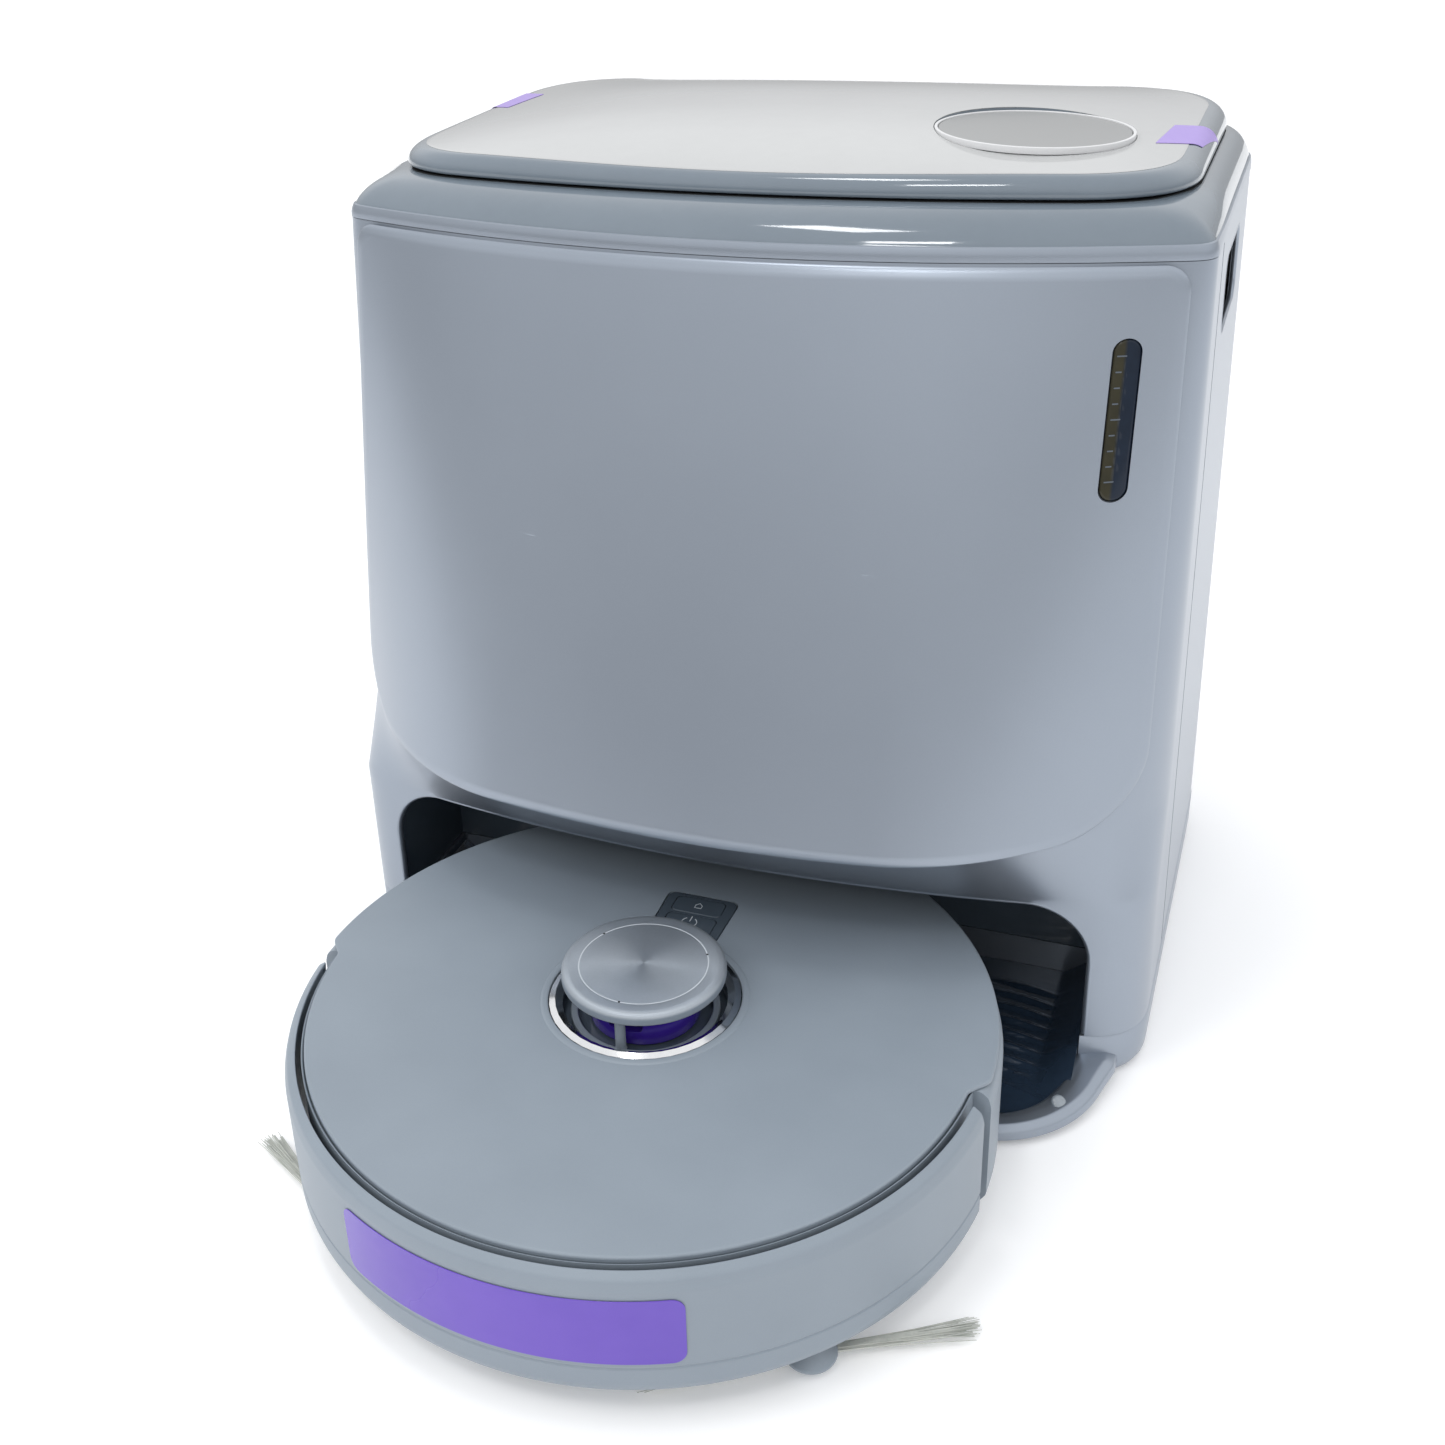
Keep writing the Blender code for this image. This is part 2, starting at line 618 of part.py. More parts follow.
def build_tanks():
    """Deck with the wall in front of the tanks, the two tanks and their screw caps."""
    deck = block("tank_deck", (-0.214, 0.0320, DECK_TOP - 0.004), (0.214, 0.2975, DECK_TOP), "dark_plastic",
                 corner=0.050)
    partition = block("partition", (-0.150, 0.0320, DECK_TOP - 0.002), (0.150, 0.0350, 0.360), None)
    boolean(deck, partition, "UNION")
    for name, sign, finish_name in (("dirty_tank", -1, "grey_tank"), ("clean_tank", 1, "clear_tank")):
        centre = (sign * 0.1010, 0.1615, 0)
        tank = block(name, (-0.0985, -0.1240, TANK_BOTTOM), (0.0985, 0.1240, TANK_TOP), finish_name,
                     centre, corner=0.022, bevel=0.006)
        hollow = block(f"{name}_hollow", (-0.0955, -0.1210, TANK_BOTTOM + 0.003),
                       (0.0955, 0.1210, TANK_TOP - 0.003), None, centre, corner=0.020)
        neck_at = (centre[0], 0.090, 0)
        neck = disc(f"{name}_neck", 0.024, TANK_TOP - 0.010, TANK_TOP + 0.010, None, neck_at, 24)
        cut(tank, hollow, neck)
        plug = [(0, TANK_TOP - 0.008), (0.0234, TANK_TOP - 0.008), (0.0234, TANK_TOP + GAP),
                (0.0300, TANK_TOP + GAP), (0.0300, TANK_TOP + 0.0080), (0.0285, TANK_TOP + 0.0095),
                (0, TANK_TOP + 0.0095)]
        turned(f"{name}_cap", plug, "white_cap", neck_at, 24)


def build_service_parts():
    bag = [(-0.052, 0.178), (0.026, 0.178), (0.026, 0.368), (0.016, 0.368)]
    across = Matrix(((0, 0, 1, 0), (1, 0, 0, 0), (0, 1, 0, 0), (0, 0, 0, 1)))
    prism("dust_bag", bag, -0.115, 0.115, "paper_bag", (0, 0, 0), across, bevel=0.006)
    fan = [(0, 0.0060), (0.046, 0.0060), (0.050, 0.010), (0.050, 0.050), (0.034, 0.058), (0.034, 0.094),
           (0.030, 0.098), (0, 0.098)]
    turned("dust_fan", fan, "dark_plastic", (-0.080, 0.170, 0), 24)
    block("station_pump", (-0.035, -0.045, 0.0060), (0.035, 0.045, 0.075), "white_cap",
          (0.095, 0.170, 0), corner=0.010, bevel=0.003)
    block("station_board", (-0.045, -0.0015, 0.010), (0.045, 0.0015, 0.100), "green_board", (0.0, 0.268, 0))


def build_front_panel():
    body = pivot("panel_body", (0, 0, 0))
    levels = corner_levels(PANEL_BOTTOM, PANEL_TOP, PANEL_LOW_CORNER, PANEL_HIGH_CORNER, 4)
    panel = front_patch("front_panel", 0, panel_half_width, levels, 0, PANEL_THICKNESS, "silver_paint",
                        (0, 0, 0), body, 24)

    def capsule(margin):
        radius = WINDOW_HALF_WIDTH + margin
        low = WINDOW_LOW - margin
        high = WINDOW_HIGH + margin

        def span(z):
            rise = max(0.0, low + radius - z, z - high + radius)
            return max(0.0012, math.sqrt(max(0.0, radius**2 - rise**2)))

        rows = [low + radius * (1 - math.cos(math.radians(18 * step))) for step in range(6)]
        rows += [high - radius + radius * math.sin(math.radians(18 * step)) for step in range(6)]
        return span, rows

    span, rows = capsule(GAP)
    hole = front_patch("window_hole", WINDOW_X, span, rows, -0.004, 0.008, None, (0, 0, 0), body, 4)
    cut(panel, hole)
    span, rows = capsule(0.0)
    front_patch("level_window", WINDOW_X, span, rows, 0.0006, 0.0032, "smoked_window", (0, 0, 0), body, 4)


def lid_surface(x, y):
    """Height of the crowned lid."""
    across = min(1.0, abs(x) / LID_HALF_WIDTH)
    middle = (LID_FRONT + LID_REAR) / 2
    along = min(1.0, abs(y - middle) / ((LID_REAR - LID_FRONT) / 2))
    back = LID_BACK_RISE * (y - LID_FRONT) / (LID_REAR - LID_FRONT)
    return COLLAR_TOP + 0.0010 + LID_EDGE + back + LID_RISE * (1 - across**2.5) * (1 - along**2.5)


def build_lid():
    underside = COLLAR_TOP + 0.0010
    body = pivot("lid_body", (0, LID_REAR, underside))
    loop = closed_ring(rim_half(LID_HALF_WIDTH, LID_FRONT, 0.60, LID_REAR, 0.050, 0.060, 0))
    middle = Vector((0, (LID_FRONT + LID_REAR) / 2, 0))
    shares = (1.0, 0.992, 0.94, 0.82, 0.62, 0.36, 0.12)
    rows_top = []
    for share in shares:
        row = []
        for point in loop:
            spot = middle + (point - middle) * share
            height = lid_surface(spot.x, spot.y) if share < 1 else underside + LID_EDGE * 0.6
            row.append(Vector((spot.x, spot.y, height)))
        rows_top.append(row)
    mesh = bmesh.new()
    origin = Vector(body["place"])
    top = [[mesh.verts.new(point - origin) for point in row] for row in rows_top]
    low = [mesh.verts.new(Vector((point.x, point.y, underside)) - origin) for point in loop]
    grid_faces(mesh, [low] + top, closed_columns=True)
    mesh.faces.new(low)
    mesh.faces.new(top[-1])
    lid = finish("lid", mesh, "gloss_lid", origin, body)
    spot = (DISPLAY_X, DISPLAY_Y, lid_surface(DISPLAY_X, DISPLAY_Y))
    lean = Matrix.Rotation(math.radians(2.2), 4, "Y")
    recess = disc("display_recess", DISPLAY_RADIUS + 0.0022, -0.0035, 0.01, None, spot, 40, body, 0, lean)
    cut(lid, recess)
    disc("lid_display", DISPLAY_RADIUS, -0.0032, 0.0000, "gloss_slate", spot, 40, body, 0.0004, lean)
    ring = [(DISPLAY_RADIUS + GAP, -0.0032), (DISPLAY_RADIUS + 0.0019, -0.0032),
            (DISPLAY_RADIUS + 0.0019, 0.0002), (DISPLAY_RADIUS + GAP, 0.0002)]
    trim = turned("display_ring", ring, "white_cap", spot, 40, parent=body)
    trim.data.transform(lean)


# ---- robot ----


def front_sector(name, radius, half_angle, low, high, at):
    """Cutter that takes away everything beyond a radius within an angle of the front."""
    profile = [(radius, low), (radius + 0.03, low), (radius + 0.03, high), (radius, high)]
    return turned(name, profile, None, at, 32, -math.pi / 2 - half_angle, 2 * half_angle)


def build_chassis(robot):
    inner = BUMPER_LIP - BUMPER_TRAVEL - GAP
    wall_inside = inner - BODY_WALL
    seat = COVER_RADIUS + 2 * GAP
    ledge = COVER_RADIUS - 0.0088
    profile = [(0, FLOOR_CLEARANCE), (ROBOT_RADIUS - 0.012, FLOOR_CLEARANCE), (ROBOT_RADIUS - 0.004, 0.0175),
               (ROBOT_RADIUS, 0.024), (ROBOT_RADIUS, 0.0765), (ROBOT_RADIUS - 0.0015, 0.0815),
               (ROBOT_RADIUS - 0.005, BODY_TOP), (seat, BODY_TOP),
               (seat, 0.0812), (ledge, 0.0812), (ledge, 0.0785), (wall_inside, 0.0785),
               (wall_inside, FLOOR_CLEARANCE + 0.004), (0, FLOOR_CLEARANCE + 0.004)]
    chassis = turned("chassis", profile, "slate_plastic", robot_point(0, 0, 0), 44, parent=robot)
    nose = front_sector("bumper_space", inner, math.radians(86.5), 0, 0.2, robot_point(0, 0, 0))
    cut(chassis, nose)
    for side, sign in (("left", -1), ("right", 1)):
        well = block(f"wheel_well_{side}", (sign * 0.1105 - 0.0235, -0.031, -0.05),
                     (sign * 0.1105 + 0.0235, 0.055, 0.05), None, robot_point(0, 0, 0.01))
        motor = disc(f"brush_hole_{side}", 0.0135, 0, 0.05, None,
                     robot_point(sign * SIDE_BRUSH_X, SIDE_BRUSH_Y, 0), 16)
        shaft = disc(f"mop_hole_{side}", 0.0070, 0, 0.05, None, robot_point(sign * MOP_X, MOP_Y, 0), 16)
        cut(chassis, well, motor, shaft)
    mouth = block("roller_mouth", (-0.086, ROLLER_Y - 0.027, -0.05), (0.086, ROLLER_Y + 0.027, 0.05), None,
                  robot_point(0, 0, 0.01))
    fork_hole = disc("fork_hole", 0.0150, 0, 0.05, None, robot_point(0, -0.137, 0), 20)
    cut(chassis, mouth, fork_hole)
    return chassis


def build_covers(robot):
    profile = [(0, COVER_TOP), (COVER_RADIUS - 0.0015, COVER_TOP), (COVER_RADIUS, 0.0845),
               (COVER_RADIUS, 0.0815), (COVER_RADIUS - 0.0028, 0.0815), (COVER_RADIUS - 0.0048, 0.0836), (0, 0.0836)]
    lift = pivot("cover_body", robot_point(0, 0, COVER_TOP), robot)
    cover = turned("top_cover", profile, "slate_plastic", robot_point(0, 0, 0), 44, parent=lift)
    outline = button_outline(GAP * 2)
    hole = prism("button_hole", outline, 0.05, 0.12, None, robot_point(0, 0, 0), None, lift)
    turret_hole = disc("turret_hole", TURRET_HOLE, 0.05, 0.12, None, robot_point(0, TURRET_Y, 0), 40, lift)
    cut(cover, hole, turret_hole)
    build_button_panel(robot)


def button_outline(margin):
    """Rounded panel behind the turret, a little wider towards the back."""
    points = rounded(0.0190 + margin, 0.0190 + margin, 0.005, 3)
    return [(x * (1 + 1.5 * y), y + BUTTON_Y) for x, y in points]


def build_button_panel(robot):
    panel = prism("button_panel", button_outline(0), 0.0700, COVER_TOP + 0.0002, "gloss_slate",
                  robot_point(0, 0, 0), None, robot, 0.0005)
    for name, offset, height in (("home_button", 0.0092, 0.0070), ("power_button", -0.0078, 0.0085)):
        at = robot_point(0, BUTTON_Y + offset, COVER_TOP + 0.0004)
        well = prism(f"{name}_well", rounded(0.0140, height, 0.003, 3), -0.006, 0.01, None, at, None, robot)
        cut(panel, well)
        prism(name, rounded(0.0140 - GAP, height - GAP, 0.003, 3), -0.0042, 0, "gloss_slate", at, None,
              robot, 0.0003)


def build_bumper(robot):
    slide = pivot("bumper_body", robot_point(0, -ROBOT_RADIUS, 0.05), robot)
    inner = ROBOT_RADIUS - BUMPER_WALL
    profile = [(inner, 0.0195), (ROBOT_RADIUS - 0.0015, 0.0195), (ROBOT_RADIUS, 0.0235), (ROBOT_RADIUS, 0.0765),
               (ROBOT_RADIUS - 0.0015, 0.0815), (ROBOT_RADIUS - 0.005, BODY_TOP),
               (BUMPER_LIP, BODY_TOP), (BUMPER_LIP, 0.0822), (inner, 0.0795)]
    turned("bumper", profile, "slate_plastic", robot_point(0, 0, 0), 28, -math.pi / 2 - BUMPER_HALF_ANGLE,
           2 * BUMPER_HALF_ANGLE, slide)
    film = [(ROBOT_RADIUS + GAP, FILM_LOW), (ROBOT_RADIUS + 2 * GAP, FILM_LOW),
            (ROBOT_RADIUS + 2 * GAP, FILM_HIGH), (ROBOT_RADIUS + GAP, FILM_HIGH)]
    turned("bumper_film", film, "violet_film", robot_point(0, 0, 0), 18, math.radians(-117), math.radians(54),
           slide)


def build_turret(robot):
    centre = robot_point(0, TURRET_Y, 0)
    base = [(0, 0.0700), (0.0470, 0.0700), (0.0470, 0.0828), (0.0440, 0.0828), (0.0415, 0.0770),
            (0.0075, 0.0770), (0.0075, 0.0740), (0, 0.0740)]
    turned("lidar_base", base, "dark_plastic", centre, 36, parent=robot)
    ring = [(0.0425, 0.0831), (0.0472, 0.0831), (0.0472, 0.0862), (0.0455, 0.0874), (0.0425, 0.0845)]
    turned("lidar_ring", ring, "bright_metal", centre, 36, parent=robot)
    spin = pivot("rotor_body", centre, robot)
    rotor = [(0, 0.0744), (0.0068, 0.0744), (0.0068, 0.0776), (0.0275, 0.0776), (0.0275, 0.0945),
             (0.0265, 0.0955), (0, 0.0955)]
    drum = turned("lidar_rotor", rotor, "violet_rotor", centre, 30, parent=spin)
    slot = block("laser_slot", (-0.009, -0.040, 0.0855), (0.009, -0.018, 0.0915), None, centre, spin)
    cut(drum, slot)
    press = pivot("cap_body", centre, robot)
    under = TURRET_TOP - 0.0078
    cap = [(0, under), (0.0380, under), (TURRET_RADIUS, under + 0.0018), (TURRET_RADIUS, TURRET_TOP - 0.0022),
           (0.0393, TURRET_TOP - 0.0005), (0.0370, TURRET_TOP), (0, TURRET_TOP)]
    lidar_cap = turned("lidar_cap", cap, "brushed_cap", centre, 36, parent=press)
    for index in range(3):
        angle = math.radians(-90 + 120 * index)
        spot = centre + Vector((0.0325 * math.cos(angle), 0.0325 * math.sin(angle), 0))
        pillar = disc(f"cap_pillar_{index + 1}", 0.0030, 0.0790, under + 0.002, None, spot, 10, press)
        boolean(lidar_cap, pillar, "UNION")


def build_inside(robot):
    floor = FLOOR_CLEARANCE + 0.004 + GAP
    block("battery", (-0.050, 0.112, floor), (0.050, 0.148, 0.058), "dark_plastic", robot_point(0, 0, 0), robot,
          0.004, 0.001)
    box = block("dust_box", (-0.075, -0.126, 0.040), (0.075, -0.076, 0.078), "clear_tank", robot_point(0, 0, 0),
                robot, 0.006, 0.001)
    hollow = block("dust_box_hollow", (-0.073, -0.124, 0.042), (0.073, -0.078, 0.076), None,
                   robot_point(0, 0, 0), robot)
    mouth = block("dust_box_mouth", (-0.030, -0.09, 0.046), (0.030, -0.07, 0.066), None, robot_point(0, 0, 0),
                  robot)
    cut(box, hollow, mouth)
    fan = [(0, floor), (0.0255, floor), (0.0255, 0.046), (0.0180, 0.056), (0, 0.056)]
    turned("suction_fan", fan, "dark_plastic", robot_point(0.030, 0.040, 0), 20, parent=robot)
    block("main_board", (-0.065, 0.004, 0.0625), (0.065, 0.090, 0.0645), "green_board", robot_point(0, 0, 0),
          robot)


def build_roller(robot):
    cover_low = 0.0095
    frame = block("roller_cover", (-0.0855, ROLLER_Y - 0.0265, cover_low), (0.0855, ROLLER_Y + 0.0265, 0.058),
                  "dark_plastic", robot_point(0, 0, 0), robot)
    space = block("roller_space", (-ROLLER_LENGTH / 2 - 0.001, ROLLER_Y - 0.0225, 0),
                  (ROLLER_LENGTH / 2 + 0.001, ROLLER_Y + 0.0225, 0.0515), None, robot_point(0, 0, 0), robot)
    duct = block("roller_duct", (-0.030, -0.08, 0.046), (0.030, ROLLER_Y, 0.0510), None, robot_point(0, 0, 0),
                 robot)
    cut(frame, space, duct)
    spin = pivot("roller_body", robot_point(0, ROLLER_Y, ROLLER_Z), robot)
    outline = []
    fins = 6
    for step in range(fins):
        for share, radius in ((-0.12, 1.0), (0.12, 1.0), (0.22, 0.72), (0.5, 0.70), (0.78, 0.72)):
            angle = math.tau * (step + share) / fins
            outline.append((ROLLER_RADIUS * radius * math.cos(angle), ROLLER_RADIUS * radius * math.sin(angle)))
    along = Matrix.Rotation(math.radians(90), 4, "Y")
    prism("roller_brush", outline, -ROLLER_LENGTH / 2, ROLLER_LENGTH / 2, "black_rubber",
          robot_point(0, ROLLER_Y, ROLLER_Z), along, spin)


def build_wheels(robot):
    along = Matrix.Rotation(math.radians(90), 4, "Y")
    for side, sign in (("left", -1), ("right", 1)):
        hinge = robot_point(sign * WHEEL_X, WHEEL_Y - ARM_LENGTH, WHEEL_RADIUS + 0.004)
        swing = pivot(f"arm_body_{side}", hinge, robot)
        axle = robot_point(sign * WHEEL_X, WHEEL_Y, WHEEL_RADIUS)
        inside = sign * (WHEEL_X - WHEEL_WIDTH / 2 - 0.0010)
        deep = inside - sign * 0.008
        low = (min(inside, deep), -0.006, -0.012)
        high = (max(inside, deep), ARM_LENGTH + 0.010, 0.008)
        arm = block(f"wheel_arm_{side}", low, high, "dark_plastic", (0, hinge.y, hinge.z), swing, 0.002)
        start = -WHEEL_WIDTH / 2 - 0.004 if sign > 0 else -WHEEL_WIDTH / 2 + 0.004
        finish_at = WHEEL_WIDTH / 2 - 0.004 if sign > 0 else WHEEL_WIDTH / 2 + 0.004
        stub = disc(f"axle_stub_{side}", 0.0045, start, finish_at, None, axle, 12, swing, 0, along)
        boolean(arm, stub, "UNION")
        spin = pivot(f"wheel_body_{side}", axle, swing)
        half = WHEEL_WIDTH / 2
        tyre = [(0.0045 + RUNNING_GAP, -half), (WHEEL_RADIUS - 0.0015, -half), (WHEEL_RADIUS, -half + 0.0025),
                (WHEEL_RADIUS, half - 0.0025), (WHEEL_RADIUS - 0.0015, half), (0.0045 + RUNNING_GAP, half)]
        wheel = turned(f"wheel_{side}", tyre, "black_rubber", axle, 28, parent=spin)
        wheel.data.transform(along)
    at = robot_point(0, -0.137, 0)
    swivel = pivot("caster_body", at, robot)
    fork = [(0, 0.0265), (0.0135, 0.0265), (0.0135, 0.0290), (0.0060, 0.0290), (0.0060, 0.0370), (0, 0.0370)]
    yoke = turned("caster_fork", fork, "dark_plastic", at, 16, parent=swivel)
    for sign in (-1, 1):
        x = sign * 0.0100
        cheek = block(f"cheek_{sign}", (x - 0.0015, -0.0050, 0.0085), (x + 0.0015, 0.0060, 0.0275), None, at,
                      swivel)
        boolean(yoke, cheek, "UNION")
    roll = pivot("caster_wheel_body", at + Vector((0, 0, 0.0125)), swivel)
    disc("caster_wheel", 0.0125, -0.0078, 0.0078, "black_rubber", at + Vector((0, 0, 0.0125)), 20, roll, 0.001,
         along)


def build_floor_brushes(robot):
    for side, sign in (("left", -1), ("right", 1)):
        at = robot_point(sign * SIDE_BRUSH_X, SIDE_BRUSH_Y, 0)
        spin = pivot(f"side_brush_body_{side}", at, robot)
        hub = [(0, 0.0030), (0.0110, 0.0030), (0.0125, 0.0060), (0.0060, 0.0120), (0.0060, 0.0300), (0, 0.0300)]
        brush = turned(f"side_brush_{side}", hub, "bristle", at, 16, parent=spin)
        for index in range(2):
            arm = [(0.004, -0.0022), (0.055, -0.0022), (SIDE_BRUSH_REACH, -0.0045), (SIDE_BRUSH_REACH, 0.0045),
                   (0.055, 0.0022), (0.004, 0.0022)]
            lead = SIDE_BRUSH_ANGLE if sign > 0 else math.pi - SIDE_BRUSH_ANGLE
            turn = Matrix.Rotation(lead + math.pi * index, 4, "Z")
            tuft = prism(f"tuft_{side}_{index}", arm, 0.0034, 0.0062, None, at, turn, spin)
            boolean(brush, tuft, "UNION")
        at = robot_point(sign * MOP_X, MOP_Y, 0)
        turn_body = pivot(f"mop_body_{side}", at, robot)
        pad = [(0, MOP_BOTTOM), (MOP_RADIUS - 0.001, MOP_BOTTOM), (MOP_RADIUS, MOP_BOTTOM + 0.0008),
               (MOP_RADIUS, 0.0134), (0.0062, 0.0136), (0.0062, 0.0300), (0, 0.0300)]
        turned(f"mop_{side}", pad, "mop_cloth", at, 32, parent=turn_body)
        block(f"robot_contact_{side}", (-0.010, -0.0012, -0.005), (0.010, 0.0, 0.005), "bright_metal",
              robot_point(sign * 0.030, ROBOT_RADIUS + 0.0016, 0.050), robot)


clear_scene()
build_base()
build_tray()
build_bay()
build_front_frame()
build_rear_shell()
build_collar()
build_tanks()
build_service_parts()
build_front_panel()
build_lid()
robot_body = pivot("robot_body", robot_point(0, 0, 0))
build_chassis(robot_body)
build_covers(robot_body)
build_bumper(robot_body)
build_turret(robot_body)
build_inside(robot_body)
build_roller(robot_body)
build_wheels(robot_body)
build_floor_brushes(robot_body)
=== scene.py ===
import json
import math
import bpy
import numpy as np
from mathutils import Matrix, Vector


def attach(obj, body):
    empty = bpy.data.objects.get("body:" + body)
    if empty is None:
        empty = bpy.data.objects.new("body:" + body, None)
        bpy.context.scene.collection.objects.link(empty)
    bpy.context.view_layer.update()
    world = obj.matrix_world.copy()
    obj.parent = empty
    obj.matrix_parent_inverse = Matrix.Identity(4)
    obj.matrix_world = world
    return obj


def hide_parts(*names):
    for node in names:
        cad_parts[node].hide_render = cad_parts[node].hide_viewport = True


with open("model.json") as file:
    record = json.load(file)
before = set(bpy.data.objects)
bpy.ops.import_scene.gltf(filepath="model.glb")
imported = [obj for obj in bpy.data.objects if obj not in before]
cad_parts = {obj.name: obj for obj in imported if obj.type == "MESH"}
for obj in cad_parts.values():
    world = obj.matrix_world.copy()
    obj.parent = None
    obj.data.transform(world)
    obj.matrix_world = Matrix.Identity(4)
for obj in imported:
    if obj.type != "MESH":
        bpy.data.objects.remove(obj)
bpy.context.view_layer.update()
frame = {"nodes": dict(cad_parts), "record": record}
print("frame loaded:", len(frame["nodes"]), "nodes")

tau = 2 * math.pi
gap = 0.0003  # clearance between neighbouring pieces
robotY = -0.1275  # the robot's axis, in front of the station
stationMiddle = np.array([0, 0.15])
sides = (("left", -1), ("right", 1))


# coordinates given apart, as one array of points
def paired(*values):
    return np.stack(np.broadcast_arrays(*values), -1)


# points in plan, lifted to one height or to a height for each
def atHeight(plan, z):
    return paired(plan[..., 0], plan[..., 1], z)


# vectors divided by their lengths
def unit(vectors):
    return vectors / np.linalg.norm(vectors, axis=-1, keepdims=True)


# unit vectors square to a path in plan, from the points on either side of each point
def sideways(path, closed=False):
    ahead = unit(np.roll(path, -1, 0) - np.roll(path, 1, 0) if closed else np.gradient(path, axis=0))
    return np.stack([ahead[:, 1], -ahead[:, 0]], -1)


# equal steps round a circle, without the last point
def fullTurn(count):
    return tau * np.arange(count) / count


# equal steps over a quarter of a circle, both ends included
def quarter(count):
    return np.linspace(0, math.pi / 2, count)


# radius times cosine and sine of the angle, from the axis, with the height added
def aroundAxis(centre, r, angle, z):
    return paired(centre[0] + r * np.cos(angle), centre[1] + r * np.sin(angle), centre[2] + z)


# every quad between neighbouring rows and columns of a grid of points, wrapped where a direction is closed
def gridQuads(rows, cols, wrapRows=False, wrapCols=False):
    r = np.arange(rows if wrapRows else rows - 1)[:, None]
    c = np.arange(cols if wrapCols else cols - 1)[None, :]
    nextR = (r + 1) % rows
    nextC = (c + 1) % cols
    return np.stack([r * cols + c, r * cols + nextC, nextR * cols + nextC, nextR * cols + c],
        -1).reshape(-1, 4)


# sum of the signed volumes between the origin and each face, so its sign says which way the faces point
def signedVolume(points, faceSets):
    total = 0.0
    for faces in faceSets:
        for k in range(1, faces.shape[1] - 1):
            a, b, c = points[faces[:, 0]], points[faces[:, k]], points[faces[:, k + 1]]
            total += float(np.einsum("ij,ij->i", a, np.cross(b, c)).sum())
    return total


# a mesh with no finish yet; faces are turned round when the volume they enclose comes out negative
def bareMesh(name, points, faceSets, sharp=35):
    points = np.asarray(points, float).reshape(-1, 3)
    if signedVolume(points, faceSets) < 0:
        faceSets = [faces[:, ::-1] for faces in faceSets]
    sizes = np.concatenate([np.full(len(faces), faces.shape[1]) for faces in faceSets])
    corners = np.concatenate([faces.ravel() for faces in faceSets])
    mesh = bpy.data.meshes.new(name)
    mesh.vertices.add(len(points))
    mesh.vertices.foreach_set("co", points.ravel())
    mesh.loops.add(len(corners))
    mesh.loops.foreach_set("vertex_index", corners)
    mesh.polygons.add(len(sizes))
    mesh.polygons.foreach_set("loop_start", np.concatenate([[0], np.cumsum(sizes)[:-1]]))
    mesh.update(calc_edges=True)
    mesh.shade_smooth()
    mesh.set_sharp_from_angle(angle=math.radians(sharp))
    shape = bpy.data.objects.new(name, mesh)
    bpy.context.scene.collection.objects.link(shape)
    return shape


# the piece takes its finish, rides on its body and stands for the CAD nodes it shows
def settle(shape, finish, body, nodes=()):
    shape.data.materials.clear()
    shape.data.materials.append(finishes[finish])
    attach(shape, body)
    if nodes:
        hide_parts(*nodes)
    return shape


# rings of points joined row to row, the ends closed by strips across or by a fan round the middle
def ringStack(rings, cap="strip"):
    rows, cols = rings.shape[:2]
    points = rings.reshape(-1, 3)
    last = (rows - 1) * cols
    sets = [gridQuads(rows, cols, wrapCols=True)]
    if cap == "strip":
        i = np.arange(cols // 2 - 1)
        strip = np.stack([i, i + 1, cols - 2 - i, cols - 1 - i], -1)
        sets += [strip[:, ::-1], strip + last]
    else:
        i = np.arange(cols)
        j = (i + 1) % cols
        middle = np.full(cols, len(points))
        points = np.concatenate([points, rings[0].mean(0)[None], rings[-1].mean(0)[None]])
        sets += [np.stack([j, i, middle], -1), np.stack([i + last, j + last, middle + 1], -1)]
    return points, sets


# rings joined row to row and the last row to the first, for pieces with a hole through them
def ringLoop(rings):
    rows, cols = rings.shape[:2]
    return rings.reshape(-1, 3), [gridQuads(rows, cols, True, True)]


# each corner swapped for a quadratic curve between points a radius before and after it
def softProfile(points, radius, steps=4, closed=True):
    p = np.array(points, float)
    before = np.roll(p, 1, 0) - p
    after = np.roll(p, -1, 0) - p
    longBefore = np.linalg.norm(before, axis=1, keepdims=True)
    longAfter = np.linalg.norm(after, axis=1, keepdims=True)
    reach = np.minimum(radius, 0.45 * np.minimum(longBefore, longAfter))
    start = p + before / longBefore * reach
    end = p + after / longAfter * reach
    t = np.linspace(0, 1, steps + 1)[None, :, None]
    curve = start[:, None] * (1 - t) ** 2 + p[:, None] * 2 * t * (1 - t) + end[:, None] * t ** 2
    if closed:
        return curve.reshape(-1, 2)
    return np.concatenate([p[:1], curve[1:-1].reshape(-1, 2), p[-1:]])


# a profile of radius and height swept round an upright axis; an open one is closed at its two poles
def turnedMesh(name, profile, centre, count=160, closed=False, start=0.0, sweep=tau, sharp=35):
    profile = np.asarray(profile, float)
    if sweep < tau:
        angle = start + np.linspace(0, sweep, count)
    else:
        angle = start + sweep * np.arange(count) / count
    rings = aroundAxis(centre, profile[:, :1], angle, profile[:, 1:])
    if sweep < tau:
        return bareMesh(name, *ringStack(rings.transpose(1, 0, 2), "fan"), sharp)
    if closed:
        return bareMesh(name, *ringLoop(rings), sharp)
    return bareMesh(name, *ringStack(rings, "fan"), sharp)


